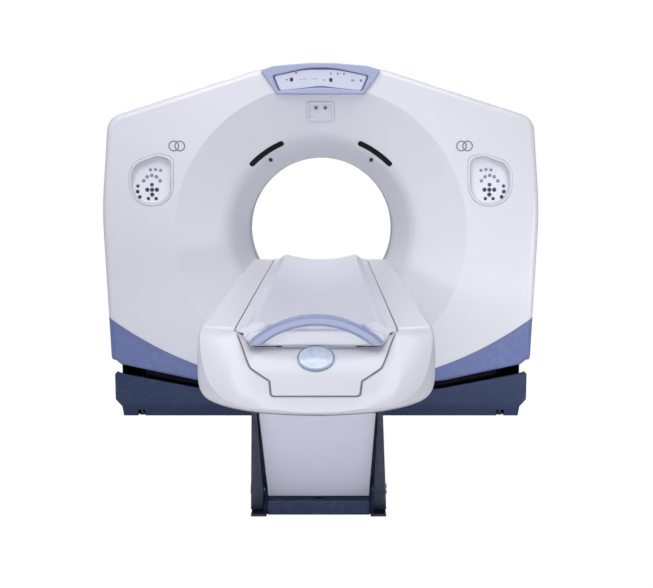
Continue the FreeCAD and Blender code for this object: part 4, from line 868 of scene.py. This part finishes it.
form = bmesh.new()
form.from_mesh(nodes["nose_panel"].data)
bmesh.ops.remove_doubles(form, verts=form.verts, dist=SAME_POINT)
form.verts.index_update()
form.normal_update()
beside = {}
slopes = {}
for edge in form.edges:
    tops = [f for f in edge.link_faces if f.normal.z > TOP_LOOKS_UP]
    walls = [f for f in edge.link_faces if abs(f.normal.z) < WALL_LOOKS_UP]
    if len(edge.link_faces) == 2 and len(tops) == 1 and len(walls) == 1:
        for a, b in (edge.verts, reversed(edge.verts)):
            beside.setdefault(a, []).append(b)
            slopes[a] = (tops[0].normal.copy(), walls[0].normal.copy())
paths = []
waiting = sorted(beside, key=lambda v: v.index)
while waiting:
    path = []
    steps = waiting[:1]
    while steps:
        waiting.remove(steps[0])
        path.append(steps[0])
        steps = [v for v in beside[path[-1]] if v in waiting]
    paths.append(path)
path = max(paths, key=len)
print("edge points:", len(path), "of paths", [len(p) for p in paths])

# %% [markdown]
# The seal is a band along that path, half a millimetre proud and laid on the slope of the skin beside it.
# Along the back edge, where the panel meets the foot step without a seal, the band dips under the skin.

# %% Nose panel seal
SEAL_PROFILE = ((-0.0018, -0.001), (-0.0012, 0.0005), (0.0042, 0.0005), (0.0048, -0.001))  # (outwards, up)
BACK_REACH, BACK_DIP = 0.004, 0.006  # how near the back edge a point counts as on it, and how far it dips

seal_grey = coated("seal_grey", (0.20, 0.185, 0.20), (0.5, 0.6), cloud=0.1, depth=0.00001)
bands = [[] for step in SEAL_PROFILE]
back_edge = max(v.co.y for v in path)
for k, vert in enumerate(path):
    ahead, behind = path[(k + 1) % len(path)].co, path[k - 1].co
    out = Vector((ahead.y - behind.y, behind.x - ahead.x, 0)).normalized()
    skin, wall = slopes[vert]
    if out.dot(wall) < 0:
        out = -out
    dip = BACK_DIP if vert.co.y > back_edge - BACK_REACH else 0
    for band, (shift, rise) in zip(bands, SEAL_PROFILE):
        fall = -(skin.x * out.x + skin.y * out.y) / skin.z * shift - dip
        band.append((vert.co.x + out.x * shift, vert.co.y + out.y * shift, vert.co.z + fall + rise))
form.free()
joined_loops("nose_panel_seal", bands, seal_grey, "table", smooth=True)
print("seal points:", len(path))

# %% [markdown]
# ## Key tops
# The keys are domes of the mat, and each will get a printed ring. Their places could be written down, but
# they are already in the mat's mesh: faces that lie furthest forward and share points belong to one key.

# %% The keys in the mat's mesh
ON_KEY = 0.00002
on_top = {v.index for v in mats.vertices if abs(v.co.y - mat_front) < ON_KEY}
fronts = [face for face in mats.polygons if on_top.issuperset(face.vertices)]
owner = {i: i for face in fronts for i in face.vertices}


def root(i):
    """The point that stands for the key that a point belongs to."""
    while owner[i] != i:
        i = owner[i]
    return i


for face in fronts:
    for i in face.vertices:
        owner[root(i)] = root(face.vertices[0])
points_of = {}
for i in owner:
    points_of.setdefault(root(i), []).append(mats.vertices[i].co)
keys = []
for points in points_of.values():
    xs, zs = [p.x for p in points], [p.z for p in points]
    keys.append(((min(xs) + max(xs)) / 2, (min(zs) + max(zs)) / 2, (max(xs) - min(xs)) / 2))
print("keys:", len(keys))

# %% [markdown]
# Each key stands in a printed disc that is a little wider than the dome, so it shows as a ring on the mat
# round it, dark for the lower keys and grey for the upper ones. The disc is a film that lies on the mat.

# %% Key prints
UPPER_ABOVE = 0.012  # how far above the lower group's middle the upper keys start
LOWER_RING, UPPER_RING = 0.0030, 0.0022  # how much wider than its key each printed disc is

for side, word in SIDES:
    mine = [key for key in keys if key[0] * side > 0]
    parting = sorted(z for x, z, radius in mine)[len(mine) // 3] + UPPER_ABOVE
    lower = [oval(x, z, r + LOWER_RING, r + LOWER_RING) for x, z, r in mine if z < parting]
    upper = [oval(x, z, r + UPPER_RING, r + UPPER_RING) for x, z, r in mine if z >= parting]
    film("key_rings_lower_" + word, lower, mat_face - FILM_THICK, ink_dark, "gantry")
    film("key_rings_upper_" + word, upper, mat_face - FILM_THICK, ink_grey, "gantry")
    print(word, "lower keys:", len(lower), "upper keys:", len(upper))

# %% [markdown]
# ## Closing the sides below the covers
# Between the covers and the base a dark apron hangs inside each side cover: a near-black sheet of painted
# shade that stands for the shade in that gap. Its lower edge is an arc about the tilt axis, a little short of
# the base's trough, so it swings clear when the gantry tilts.

# %% Side aprons
APRON_END, APRON_TOP = 0.478, 0.30  # how far it reaches to the front and back, and its upper edge's height
APRON_X, APRON_THICK = 1.0475, 0.005
APRON_CLEAR = 0.004
ARC_STEPS = 40

joints = frame["record"]["behaviour"]["joints"]
axis_z = next(joint["pos_m"][2] for joint in joints if joint["name"] == "gantry_tilt")
skirt_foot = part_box("lower_skirts")[0].z
swing = math.hypot(APRON_END, axis_z - skirt_foot) - APRON_CLEAR
turns = [math.asin(APRON_END / swing) * (2 * k / ARC_STEPS - 1) for k in range(ARC_STEPS + 1)]
outline = [(swing * math.sin(t), axis_z - swing * math.cos(t)) for t in turns]
outline += [(APRON_END, APRON_TOP), (-APRON_END, APRON_TOP)]
for side, word in SIDES:
    form = bmesh.new()
    plate(form, [(side * APRON_X, y, z) for y, z in outline], (side * APRON_THICK, 0, 0))
    bmesh.ops.recalc_face_normals(form, faces=form.faces)
    # Painted shade: each apron takes the skirts' near-black finish to darken the gap.
    apron = finished(form, "side_painted_shade_apron_" + word, finish["skirt_black"])
    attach(apron, "gantry")
print("apron radius %.3f" % swing)

# %% [markdown]
# ## Floor pads
# Under each arm of the front leg a flat pad is bolted to the floor. It is a thin block with a rounded edge.
# It stays under the arm's round knuckle, which turns about its pin, so it clears the knuckle at every lift.

# %% Floor pads
PAD_X, PAD_Y = 0.2265, -1.897  # a pad's middle
PAD_WIDE, PAD_LONG = 0.060, 0.200
PAD_GAPS = 0.0015  # over and under it together
PAD_DROP = 0.0002  # how far it sits below the middle of them
PAD_ROUNDING = 0.004

knuckle_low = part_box("front_leg")[0].z
pad_high = knuckle_low - PAD_GAPS
for side, word in SIDES:
    form = bmesh.new()
    bmesh.ops.create_cube(form, size=1.0)
    bmesh.ops.scale(form, verts=form.verts, vec=(PAD_WIDE, PAD_LONG, pad_high))
    bmesh.ops.translate(form, verts=form.verts, vec=(side * PAD_X, PAD_Y, knuckle_low / 2 - PAD_DROP))
    pad = finished(form, "floor_pad_" + word, finish["leg_black"])
    rounded = pad.modifiers.new("round_edge", "BEVEL")
    rounded.width, rounded.segments = PAD_ROUNDING, 3
    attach(pad, "base")
print("pad height %.1f mm" % (pad_high * 1000))
